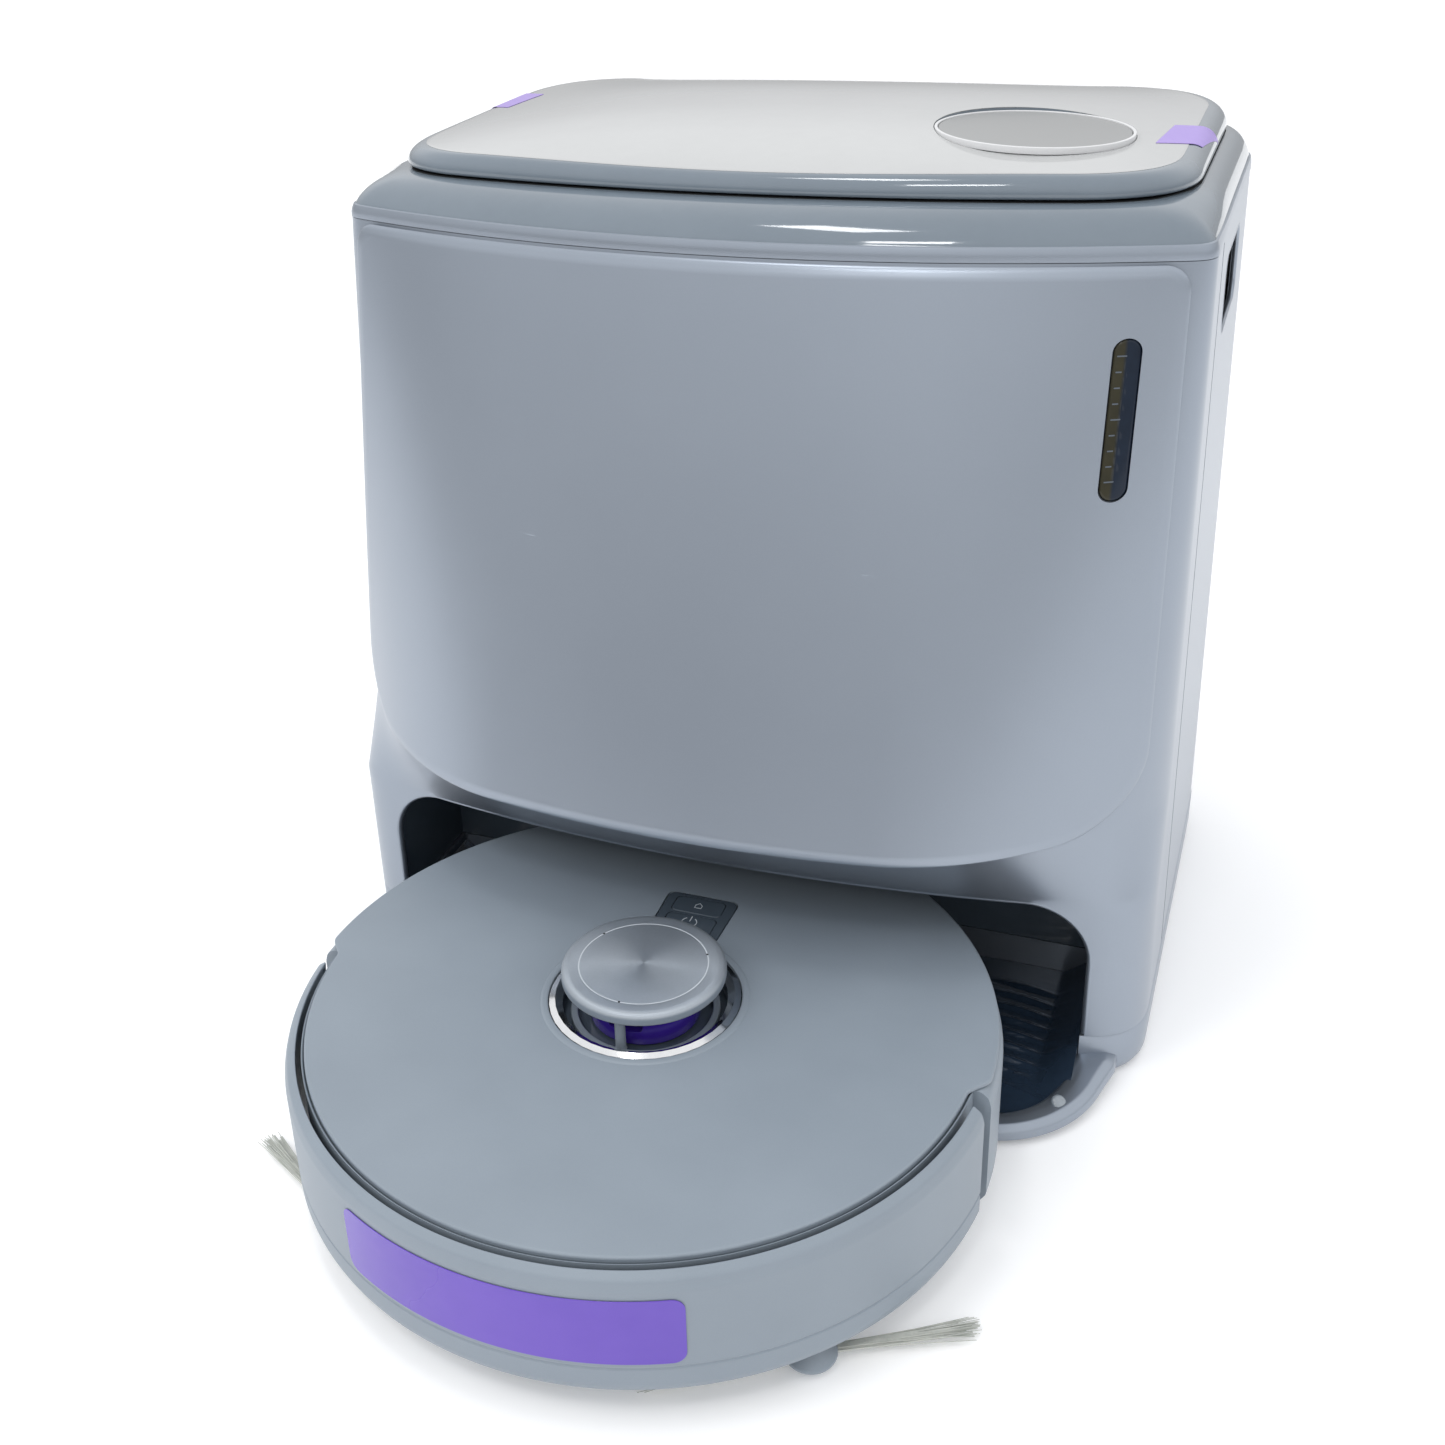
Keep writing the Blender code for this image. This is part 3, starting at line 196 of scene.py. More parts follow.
# straight runs and quarter circles, anticlockwise from the middle of the right side
def roundedOutline(x0, x1, y0, y1, radii, inset=0.0, arc=10, run=10, rise=6):
    inset = min(inset, (x1 - x0) / 2 - 0.0003, (y1 - y0) / 2 - 0.0003)
    x0, x1, y0, y1 = x0 + inset, x1 - inset, y0 + inset, y1 - inset
    most = min(x1 - x0, y1 - y0) / 2
    lowRight, highRight, highLeft, lowLeft = [min(max(r - inset, 0.0001), most) for r in radii]
    t = quarter(arc)

    def corner(cx, cy, r, turn):
        return np.stack([cx + r * np.cos(t + turn), cy + r * np.sin(t + turn)], -1)

    def between(a, b, count):
        share = (np.arange(count)[:, None] + 1) / (count + 1)
        return a[None] + (b - a)[None] * share

    a = corner(x1 - highRight, y1 - highRight, highRight, 0)
    b = corner(x0 + highLeft, y1 - highLeft, highLeft, math.pi / 2)
    c = corner(x0 + lowLeft, y0 + lowLeft, lowLeft, math.pi)
    d = corner(x1 - lowRight, y0 + lowRight, lowRight, -math.pi / 2)
    right = between(d[-1], a[0], 2 * rise)
    left = between(b[-1], c[0], 2 * rise)
    return np.concatenate([right[rise:], a, between(a[-1], b[0], run), b, left, c,
        between(c[-1], d[0], run), d, right[:rise]])


# insets and heights from the middle of the underside, round the rim and to the middle of the top
def plateProfile(thickness, edge, reach, steps=10, bevel=None):
    inner = edge + (reach - edge) * (np.arange(1, steps + 1) / steps) ** 1.6
    turn = quarter(5)
    rim = bevel or list(zip(edge * (1 - np.cos(turn)), -edge * (1 - np.sin(turn))))
    under = [(i, -thickness) for i in inner[::-1]] + [(edge * 0.3, -thickness),
        (0.0, -thickness + edge * 0.2)]
    return under + list(rim) + [(i, 0.0) for i in inner]


# a plate: its outline drawn again at each inset and height of the profile, and laid on a surface
def plateMesh(name, outline, profile, place, sharp=50):
    rings = []
    for inset, height in profile:
        u, v = outline(inset).T
        rings.append(paired(*place(u, v, height)))
    return bareMesh(name, *ringStack(np.stack(rings)), sharp)


# an outline carried straight along one axis, closed at both ends
def prismMesh(name, outline, low, high, axes="xyz", at=(0, 0, 0), sharp=35):
    outline = np.asarray(outline, float)
    rings = np.zeros((2, len(outline), 3))
    rings[:, :, "xyz".index(axes[0])] = outline[:, 0]
    rings[:, :, "xyz".index(axes[1])] = outline[:, 1]
    rings[:, :, "xyz".index(axes[2])] = np.array([low, high])[:, None]
    return bareMesh(name, *ringStack(rings + np.array(at)), sharp)


# the cutters are taken away exactly and the result is kept as the piece's own mesh
def carve(shape, *cutters, sharp=35):
    for cutter in cutters:
        modifier = shape.modifiers.new("carve", "BOOLEAN")
        modifier.operation = "DIFFERENCE"
        modifier.solver = "EXACT"
        modifier.object = cutter
    bpy.context.view_layer.update()
    graph = bpy.context.evaluated_depsgraph_get()
    carved = bpy.data.meshes.new_from_object(shape.evaluated_get(graph))
    shape.modifiers.clear()
    shape.data = carved
    carved.set_sharp_from_angle(angle=math.radians(sharp))
    for cutter in cutters:
        bpy.data.objects.remove(cutter)
    return shape


# sRGB hex to the linear values that shaders take
def hexToLinear(text):
    parts = [int(text[i:i + 2], 16) / 255 for i in (1, 3, 5)]
    return [p / 12.92 if p <= 0.04045 else ((p + 0.055) / 1.055) ** 2.4 for p in parts] + [1.0]


# one node: lower-case keys are its own settings, the others are its inputs
def addNode(tree, kind, settings, links):
    node = tree.nodes.new("ShaderNode" + kind)
    for key, value in settings.items():
        if isinstance(key, int) or key[0].isupper():
            node.inputs[key].default_value = value
        else:
            setattr(node, key, value)
    for key, socket in links.items():
        tree.links.new(socket, node.inputs[key])
    return node


# two close tones mixed by slow noise, a gloss that wanders between two roughness values, and a grain
# that bumps the surface; sizes are in mm, and a noise's scale is 1000 over its size
def makeFinish(name, tones, rough, grain, depth, patch=60, shader=None):
    material = bpy.data.materials.new(name)
    material.use_nodes = True
    tree = material.node_tree
    tree.nodes.clear()
    place = addNode(tree, "TexCoord", {}, {})
    where = {"Vector": place.outputs["Object"]}
    slow = addNode(tree, "TexNoise", {"Scale": 1000 / patch, "Detail": 4.0}, where)
    fine = addNode(tree, "TexNoise", {"Scale": 1000 / grain, "Detail": 2.0}, where)
    blend = addNode(tree, "Math", {"operation": "MULTIPLY_ADD", 1: 0.35},
        {0: fine.outputs["Fac"], 2: slow.outputs["Fac"]})
    share = addNode(tree, "MapRange", {"From Min": 0.4, "From Max": 0.95}, {"Value": blend.outputs[0]})
    colour = addNode(tree, "Mix", {"data_type": "RGBA", 6: hexToLinear(tones[0]), 7: hexToLinear(tones[1])},
        {0: share.outputs[0]})
    gloss = addNode(tree, "MapRange", {"To Min": rough[0], "To Max": rough[1]},
        {"Value": slow.outputs["Fac"]})
    bump = addNode(tree, "Bump", {"Strength": 0.5, "Distance": depth / 1000},
        {"Height": fine.outputs["Fac"]})
    surface = addNode(tree, "BsdfPrincipled", shader or {},
        {"Base Color": colour.outputs[2], "Roughness": gloss.outputs[0], "Normal": bump.outputs[0]})
    addNode(tree, "OutputMaterial", {}, {"Surface": surface.outputs[0]})
    finishes[name] = material
    return material


finishes = {}
# tones, roughness from and to, grain and bump depth and patch in mm, and the shader's own inputs
finishList = {
    # aluminium flake in a grey lacquer: a soft sheen that turns pale towards the light
    "silverLacquer": (("#959da8", "#9aa2ad"), (0.31, 0.35), 0.7, 0.015, 150,
        {"Metallic": 0.78, "Coat Weight": 0.12, "Coat Roughness": 0.2}),
    # fine-textured ABS in blue-grey: matt, with a wide dull highlight
    "mattSlateAbs": (("#838d97", "#8a949e"), (0.4, 0.48), 0.6, 0.03, 60, {}),
    # polished slate acrylic: deep colour under mirror-like highlights
    "polishedSlate": (("#6a757f", "#6f7a84"), (0.06, 0.1), 6, 0.01, 60,
        {"Coat Weight": 0.5, "Coat Roughness": 0.03}),
    # polished pale grey acrylic of the lid
    "polishedPearl": (("#b0b1b1", "#b5b6b6"), (0.07, 0.11), 8, 0.01, 60,
        {"Coat Weight": 0.5, "Coat Roughness": 0.03}),
    # satin disc of the round display: even grey, no sharp highlight
    "satinDisplay": (("#8f9090", "#949595"), (0.3, 0.36), 2, 0.01, 60, {}),
    # white ABS of rings and caps, half glossy
    "whiteAbs": (("#d6d7d8", "#dfdfe0"), (0.25, 0.32), 1.5, 0.02, 60, {}),
    # spark-eroded black ABS: dark, with a dusty grey grain
    "erodedBlackAbs": (("#15181b", "#1d2023"), (0.42, 0.55), 0.8, 0.06, 60, {}),
    # near black: the painted shade in the gap under the lid, and the small dots on the turret cap
    "gapShadeAndDotBlack": (("#060708", "#0b0c0d"), (0.6, 0.75), 1.0, 0.05, 60, {}),
    # polished navy ABS of the washing tray, wet-looking
    "polishedNavy": (("#222e3c", "#2b394a"), (0.07, 0.13), 4, 0.03, 60,
        {"Coat Weight": 1.0, "Coat Roughness": 0.04}),
    # dark polished ABS of keys and linings: a clear highlight on slate grey
    "darkPolishedAbs": (("#46505a", "#4d5761"), (0.1, 0.16), 5, 0.01, 60,
        {"Coat Weight": 0.5, "Coat Roughness": 0.04}),
    # level marks that only just show in the smoked window
    "fadedInk": (("#4c545e", "#59616b"), (0.35, 0.45), 0.5, 0.02, 60, {}),
    # pale printed marks
    "printedInk": (("#b9c0c6", "#c4cad0"), (0.35, 0.45), 0.5, 0.02, 60, {}),
    # injection-moulded rubber: black, grey where it is scuffed
    "mouldedRubber": (("#141414", "#242423"), (0.65, 0.8), 0.9, 0.08, 60, {}),
    # vapour-plated trim: sharp, bright reflections
    "brightPlating": (("#d2d3d5", "#e4e4e4"), (0.08, 0.14), 3, 0.005, 60, {"Metallic": 1.0}),
    # violet polycarbonate of the laser drum, glossy and deep
    "violetPolycarbonate": (("#35208a", "#41299b"), (0.12, 0.2), 3, 0.01, 60,
        {"Coat Weight": 0.6, "Coat Roughness": 0.05}),
    # peelable transit film: violet, slightly slack on the bumper
    "violetTransitFilm": (("#5837ad", "#6443b6"), (0.2, 0.34), 14, 0.25, 90,
        {"Coat Weight": 0.3, "Coat Roughness": 0.12}),
    # thin lavender tape, satin
    "lavenderTape": (("#9c83cf", "#a68fd6"), (0.28, 0.36), 5, 0.05, 60, {}),
    # bundled nylon monofilament, sage grey
    "nylonBristle": (("#a9ada6", "#c9cbc4"), (0.35, 0.5), 1.2, 0.05, 10, {"Sheen Weight": 0.3}),
    # looped microfibre: soft, light-scattering
    "loopedMicrofibre": (("#6b7076", "#9aa0a6"), (0.85, 0.95), 1.6, 0.8, 8, {"Sheen Weight": 0.5}),
    # nonwoven fleece of the dust bag: dull and fuzzy
    "polypropyleneFleece": (("#c7c2b6", "#d8d4ca"), (0.8, 0.92), 1.4, 0.4, 20, {"Sheen Weight": 0.4}),
    # clear tank wall with a bluish tint
    "clearPolystyrene": (("#b3c0ca", "#bccad3"), (0.08, 0.14), 6, 0.02, 60,
        {"Transmission Weight": 0.5, "IOR": 1.58}),
    # smoked tank wall that hides what it holds
    "smokedPolystyrene": (("#5b5f63", "#65696d"), (0.1, 0.18), 6, 0.02, 60,
        {"Transmission Weight": 0.3, "IOR": 1.58}),
    # solder mask on a board: dark green under a thin gloss
    "greenSolderMask": (("#0f4a2c", "#1a6a3e"), (0.25, 0.4), 1.8, 0.05, 9, {"Coat Weight": 0.4}),
    # clear dome over a grey seat: small bright highlight
    "clearLens": (("#7f8890", "#98a0a7"), (0.04, 0.08), 2, 0.03, 5,
        {"Coat Weight": 1.0, "Coat Roughness": 0.02}),
}
for finishName, values in finishList.items():
    makeFinish(finishName, *values)


# smoked acrylic over the water level: brown where the tank's wall shows through, navy beside it
def makeSmokedAcrylic(edge, width):
    material = makeFinish("smokedAcrylic", ("#15181c", "#1f2226"), (0.06, 0.1), 3, 0.01, 12,
        shader={"Specular IOR Level": 0.3})
    tree = material.node_tree
    place = addNode(tree, "TexCoord", {}, {})
    across = addNode(tree, "SeparateXYZ", {}, {0: place.outputs["Object"]})
    share = addNode(tree, "MapRange", {"From Min": edge - width / 2, "From Max": edge + width / 2},
        {"Value": across.outputs["X"]})
    streak = addNode(tree, "TexNoise", {"Scale": 90.0, "Detail": 3.0}, {"Vector": place.outputs["Object"]})
    brown = addNode(tree, "Mix",
        {"data_type": "RGBA", 6: hexToLinear("#25241d"), 7: hexToLinear("#3b3828")},
        {0: streak.outputs["Fac"]})
    navy = addNode(tree, "Mix", {"data_type": "RGBA", 6: hexToLinear("#121a26"), 7: hexToLinear("#1d2838")},
        {0: streak.outputs["Fac"]})
    both = addNode(tree, "Mix", {"data_type": "RGBA"},
        {0: share.outputs[0], 6: brown.outputs[2], 7: navy.outputs[2]})
    tree.links.new(both.outputs[2], tree.nodes["Principled BSDF"].inputs["Base Color"])
    return material


# turned aluminium cap: circular brush lines a third of a millimetre apart, drawn coarse enough to see,
# that draw the light out into a bow-tie
def makeBrushedCap(centre):
    material = makeFinish("turnedAluminium", ("#a4acb4", "#b0b7bf"), (0.36, 0.42), 1.2, 0.01, 30,
        shader={"Metallic": 0.75, "Anisotropic": 0.8})
    tree = material.node_tree
    surface = tree.nodes["Principled BSDF"]
    place = addNode(tree, "TexCoord", {}, {})
    centred = addNode(tree, "Mapping", {"Location": (-centre[0], -centre[1], 0)},
        {"Vector": place.outputs["Object"]})
    rings = addNode(tree, "TexWave", {"wave_type": "RINGS", "rings_direction": "Z", "Scale": 480.0,
        "Distortion": 1.2, "Detail Scale": 6.0}, {"Vector": centred.outputs[0]})
    bump = addNode(tree, "Bump", {"Strength": 0.35, "Distance": 0.00003}, {"Height": rings.outputs["Fac"]})
    tree.links.new(bump.outputs[0], surface.inputs["Normal"])
    around = addNode(tree, "Tangent", {"direction_type": "RADIAL", "axis": "Z"}, {})
    tree.links.new(around.outputs[0], surface.inputs["Tangent"])
    return material


makeSmokedAcrylic(edge=0.1888, width=0.0015)
print("finishes made:", len(finishes))


station = {"halfLow": 0.23, "halfHigh": 0.2225, "shellTop": 0.4222, "rear": 0.3031, "rearCorner": 0.055,
    "cornerLow": 0.032, "cornerHigh": 0.01, "wall": 0.003, "seamY": 0.083, "seamWidth": 0.003,
    "lipZ": 0.1086, "lipY": -0.0387, "lipCrown": 0.5, "standOff": 0.0046, "panelLow": 0.1535,
    "panelHigh": 0.4215, "panelY": -0.0875, "lean": 0.33, "crown": 0.8, "roll": 0.055, "baseLow": 0.002,
    "baseHigh": 0.027, "bayHalf": 0.201, "bayRear": 0.0625, "bayHeight": 0.1678, "bayCorner": 0.036,
    "hatch": (-0.182, 0.182, 0.18, 0.4), "socket": (-0.168, -0.132, 0.043, 0.069), "gripY": 0.158,
    "gripHalf": 0.042, "gripLow": 0.366, "gripHigh": 0.406, "gripCorner": 0.01}


# the lip's crowned line low down; the panel's crowned, leaning face above, rolled back low at the sides;
# and a straight blend in height between the two
def frontY(x, z):
    s = station
    x, z = np.broadcast_arrays(np.asarray(x, float), np.asarray(z, float))
    lip = s["lipY"] + s["lipCrown"] * x * x
    height = np.clip((z - s["panelLow"]) / (s["panelHigh"] - s["panelLow"]), 0, 1)
    rollBack = s["roll"] * (1 - height) * np.maximum(0, (np.abs(x) - 0.1) / 0.12) ** 2
    panel = s["panelY"] + s["lean"] * np.maximum(0, z - s["panelLow"]) + s["crown"] * x * x + rollBack
    share = np.clip((z - s["lipZ"]) / (s["panelLow"] - s["lipZ"]), 0, 1)
    return lip + (panel - lip) * share


# from one value at the floor to another at the shell's top, straight in height
def tapered(low, high, z):
    return low + (high - low) * np.clip(z / station["shellTop"], 0, 1)


def halfWidth(z):
    return tapered(station["halfLow"], station["halfHigh"], z)


# right half of the front in plan at each height: the crowned face, a quadratic corner and the side run
def frontRun(z, inset, offset, toSeam=True, face=46, bend=14, side=8):
    z = np.asarray(z, float)[:, None]
    width = halfWidth(z) - inset
    corner = tapered(station["cornerLow"], station["cornerHigh"], z)
    start = width - corner
    x = start * np.linspace(0, 1, face)[None] ** 0.85
    y = frontY(x, z) + offset
    slope = (frontY(start, z) - frontY(start - 0.002, z)) / 0.002
    kneeY = y[:, -1:] + slope * corner
    t = np.linspace(0, 1, bend + 1)[None, 1:]
    bendX = start * (1 - t) ** 2 + width * (2 * t * (1 - t) + t ** 2)
    bendY = y[:, -1:] * (1 - t) ** 2 + kneeY * 2 * t * (1 - t) + (kneeY + corner) * t ** 2
    parts = [paired(x, y), paired(bendX, bendY)]
    if toSeam:
        t = np.linspace(0, 1, side + 1)[None, 1:]
        last = kneeY + corner
        seam = station["seamY"] - station["seamWidth"] / 2
        parts.append(paired(width, last + (seam - last) * t))
    return np.concatenate(parts, 1)


# right half of the back in plan at each height: side run, quarter circle, back run to the middle
def rearRun(z, inset, side=10, bend=20, back=16):
    z = np.asarray(z, float)[:, None]
    width = halfWidth(z) - inset
    rear = station["rear"] - inset
    corner = station["rearCorner"] - inset
    t = np.linspace(0, 1, side)[None]
    low = station["seamY"] + station["seamWidth"] / 2
    turn = quarter(bend)[None]
    runs = [paired(width, low + (rear - corner - low) * t)[:, :-1],
        paired(width - corner + corner * np.cos(turn), rear - corner + corner * np.sin(turn))]
    t = np.linspace(0, 1, back + 1)[None, 1:]
    runs.append(paired((width - corner) * (1 - t), rear))
    return np.concatenate(runs, 1)


# the left half put before the right half, sharing the middle point
def mirrored(run):
    left = run[:, :0:-1] * np.array([-1, 1])
    return np.concatenate([left, run], 1)


# a half from front middle to rear middle, closed by its mirror image
def wholeRing(run):
    left = run[..., -2:0:-1, :] * np.array([-1, 1])
    return np.concatenate([run, left], -2)


# an upright sheet: outer run and inner run joined in one loop at each height
def wallMesh(name, outer, inner, z):
    return bareMesh(name, *ringStack(atHeight(np.concatenate([outer, inner[:, ::-1]], 1), z[:, None])))


def buildFrontFrame():
    s = station
    low = s["baseHigh"] + gap
    z = np.concatenate([np.linspace(low, s["lipZ"], 14)[:-1],
        np.linspace(s["lipZ"], s["panelLow"], 12)[:-1], np.linspace(s["panelLow"], s["shellTop"], 30)])
    outer = mirrored(frontRun(z, 0, s["standOff"]))
    inner = mirrored(frontRun(z, s["wall"], s["standOff"] + s["wall"]))
    shape = wallMesh("frontFrame", outer, inner, z)
    bay = (-s["bayHalf"], s["bayHalf"], s["lipZ"] - s["bayHeight"], s["lipZ"] + 0.0002,
        (s["bayCorner"],) * 4)
    cutters = [prismMesh("bayCutter", roundedOutline(*bay), -0.1, 0.04, "xzy"),
        prismMesh("hatchCutter", roundedOutline(*s["hatch"], (0.03,) * 4), -0.1, 0.06, "xzy")]
    carve(shape, *cutters, sharp=28)
    settle(shape, "silverLacquer", "station", ["front_frame"])
    # rolled edge round the bay opening, following the face
    path = roundedOutline(*bay, arc=24, run=80, rise=60)
    path = path[path[:, 1] > low + 0.0004]
    path = path[np.argsort(np.arctan2(path[:, 0], path[:, 1]))]
    inward = sideways(path)
    inward *= np.sign((inward * (np.array([0, 0.05]) - path)).sum(1, keepdims=True))
    turn = fullTurn(14)
    across = 0.0022 * np.cos(turn)[None, :, None] * inward[:, None]
    x = path[:, None, 0] + across[..., 0]
    z = path[:, None, 1] + across[..., 1]
    y = (frontY(path[:, 0], path[:, 1]) + s["standOff"] + 0.0024)[:, None] + 0.0024 * np.sin(turn)[None]
    trim = bareMesh("bayTrim", *ringStack(np.stack([x, y, z], -1), "fan"), 60)
    settle(trim, "silverLacquer", "station")


def buildRearShell():
    s = station
    z = np.concatenate([[s["baseHigh"] + gap, s["baseHigh"] + 0.0015],
        np.linspace(0.04, s["shellTop"], 26)])
    outer = mirrored(rearRun(z, 0)[:, ::-1])
    inner = mirrored(rearRun(z, s["wall"])[:, ::-1])
    shape = wallMesh("rearShell", outer, inner, z)
    grip = roundedOutline(s["gripY"] - s["gripHalf"], s["gripY"] + s["gripHalf"], s["gripLow"],
        s["gripHigh"], (s["gripCorner"],) * 4)
    socket = roundedOutline(*s["socket"], (0.003,) * 4)
    carve(shape, prismMesh("gripCutter", grip, -0.3, 0.3, "yzx"),
        prismMesh("socketCutter", socket, 0.28, 0.33, "xzy"))
    settle(shape, "silverLacquer", "station", ["rear_shell"])
    # rolled edge round each hand hole
    outwards = unit(grip - np.array([s["gripY"], (s["gripLow"] + s["gripHigh"]) / 2]))
    turn = fullTurn(12)
    yz = grip[:, None] + 0.0013 * np.cos(turn)[None, :, None] * outwards[:, None]
    for side, sign in sides:
        x = sign * (halfWidth(grip[:, 1])[:, None] - 0.0012 + 0.0014 * np.sin(turn)[None])
        rim = bareMesh("gripRim" + side.title(), *ringLoop(paired(x, yz[..., 0], yz[..., 1])), 60)
        settle(rim, "silverLacquer", "station")


def buildBase():
    s = station
    front = frontRun([s["baseLow"]], 0, s["standOff"], toSeam=False)[0]
    loop = wholeRing(np.concatenate([front, rearRun([s["baseLow"]], 0)[0]]))
    levels = [(0.975, s["baseLow"]), (0.985, s["baseLow"]), (0.994, s["baseLow"] + 0.0006),
        (0.999, s["baseLow"] + 0.003), (1.0, s["baseLow"] + 0.006), (1.0, s["baseHigh"] - 0.0012),
        (0.9975, s["baseHigh"])]
    rings = np.stack([atHeight(stationMiddle + (loop - stationMiddle) * share, z) for share, z in levels])
    shape = bareMesh("basePlate", *ringStack(rings, "fan"), 40)
    pocket = roundedOutline(-0.1988, 0.1988, -0.12, s["bayRear"] - gap, (0.001,) * 4)
    machines = roundedOutline(-0.205, 0.205, s["bayRear"] + 0.004, s["rear"] - 0.02, (0.03,) * 4)
    carve(shape, prismMesh("pocketCutter", pocket, s["baseLow"] + 0.002, 0.1, "xyz"),
        prismMesh("machineCutter", machines, s["baseLow"] + 0.003, 0.1, "xyz"))
    settle(shape, "silverLacquer", "station", ["base_plate"])


# half of a rounded plan: crowned front, quadratic front corner, side run, quarter circle, back run
def rimRun(width, front, crown, rear, frontCorner, rearCorner):
    start = width - frontCorner
    x = start * np.linspace(0, 1, 40)
    face = np.stack([x, front + crown * x * x], -1)
    kneeY = face[-1, 1] + 2 * crown * start * frontCorner
    t = np.linspace(0, 1, 19)[1:]
    bend = np.stack([start * (1 - t) ** 2 + width * (2 * t * (1 - t) + t ** 2),
        face[-1, 1] * (1 - t) ** 2 + kneeY * 2 * t * (1 - t) + (kneeY + frontCorner) * t ** 2], -1)
    t = np.linspace(0, 1, 9)[1:-1]
    low = kneeY + frontCorner
    side = np.stack([width + 0 * t, low + (rear - rearCorner - low) * t], -1)
    turn = quarter(18)
    corner = np.stack([width - rearCorner + rearCorner * np.cos(turn),
        rear - rearCorner + rearCorner * np.sin(turn)], -1)
    t = np.linspace(0, 1, 15)[1:]
    back = np.stack([(width - rearCorner) * (1 - t), rear + 0 * t], -1)
    return np.concatenate([face, bend, side, corner, back])


# points of a loop at the bearings, seen from the station's middle, of the points of a guide loop
def atBearings(loop, guide):
    bearing = np.arctan2(*(loop - stationMiddle).T)
    order = np.argsort(bearing)
    wanted = np.arctan2(*(guide - stationMiddle).T)
    return np.stack([np.interp(wanted, bearing[order], loop[order, axis], period=tau) for axis in (0, 1)],
        -1)


lid = {"halfWidth": 0.2085, "front": 0.037, "crown": 0.6, "rear": 0.299, "frontCorner": 0.05,
    "rearCorner": 0.06, "lift": 0.001, "edge": 0.008, "rise": 0.012, "backRise": 0.0045,
    "collarTop": 0.4435, "displayX": 0.1247, "displayY": 0.1293, "displayRadius": 0.0473, "lean": 2.2,
    "rounding": 0.044, "tapeHalf": 0.0105,
    "tapes": (("tapeRight", 0.196, 0.156, 0.023, 0.6), ("tapeLeft", -0.1955, 0.205, 0.021, -0.7))}


# the lid's outline, grown by a margin
def lidOutline(margin=0.0):
    return wholeRing(rimRun(lid["halfWidth"] + margin, lid["front"] - margin, lid["crown"],
        lid["rear"] + margin, lid["frontCorner"], lid["rearCorner"]))


def buildCollar():
    s = station
    bottom = s["shellTop"] + gap
    low = wholeRing(np.concatenate([frontRun([s["shellTop"]], 0, s["standOff"], toSeam=False)[0],
        rearRun([s["shellTop"]], 0)[0]]))
    top = lid["collarTop"]
    high = atBearings(lidOutline(0.0005), low)
    inwards = unit(stationMiddle - low)

    # the shoulder's plan and height: in by one less the angle's cosine, up by its sine
    def shoulder(angle, depth, lift=0.0):
        plan = low + (high - low) * (1 - math.cos(angle)) + inwards * depth
        return atHeight(plan, bottom + lift + (top - bottom) * math.sin(angle))

    # lower band, a fine step, the rolled shoulder, and back down inside
    rings = [shoulder(angle, 0.0006 * ((top - bottom) * math.sin(angle) > 0.0055)) for angle in quarter(22)]
    for depth, drop in ((0.0006, 0.0), (0.0024, 0.0008), (0.003, 0.003), (0.0034, 0.008)):
        rings.append(atHeight(high + inwards * depth, top - drop))
    rings.append(atHeight(low + inwards * 0.004, bottom))
    # silver band round the collar's foot, just above the panel
    foot = ((-0.0006, 0.0), (0.0003, 0.0), (0.0004, 0.1), (0.0004, 0.2), (0.0003, 0.31), (-0.0006, 0.33))
    band = [shoulder(angle, -out, 0.0001) for out, angle in foot]
    # near-black sheet in the gap under the lid: painted shade, so the gap shows dark
    gapShadeSection = ((0.0008, 0.0), (0.0008, 0.0008), (0.0125, 0.0008), (0.0125, -0.004), (0.0045, -0.004))
    gapShade = [atHeight(high + inwards * depth, top - 0.0004 + rise) for depth, rise in gapShadeSection]
    for name, made, finish, slotName, nodes in (("collar", rings, "polishedSlate", "gloss_slate",
            ["collar"]), ("collarBand", band, "silverLacquer", "silver_paint", ()),
            ("lidGapShade", gapShade, "gapShadeAndDotBlack", "dark_plastic", ())):
        settle(bareMesh(name, *ringLoop(np.stack(made)), 40), finish, "station", nodes)


# the lid's height: edge, a slow rise to the back, and a crown that flattens towards the middle
def lidSurface(x, y):
    across = np.clip(np.abs(x) / lid["halfWidth"], 0, 1)
    middle = (lid["front"] + lid["rear"]) / 2
    along = np.clip(np.abs(y - middle) / ((lid["rear"] - lid["front"]) / 2), 0, 1)
    back = lid["backRise"] * (y - lid["front"]) / (lid["rear"] - lid["front"])
    crown = lid["rise"] * (1 - across ** 2.5) * (1 - along ** 2.5)
    return lid["collarTop"] + lid["lift"] + lid["edge"] + back + crown


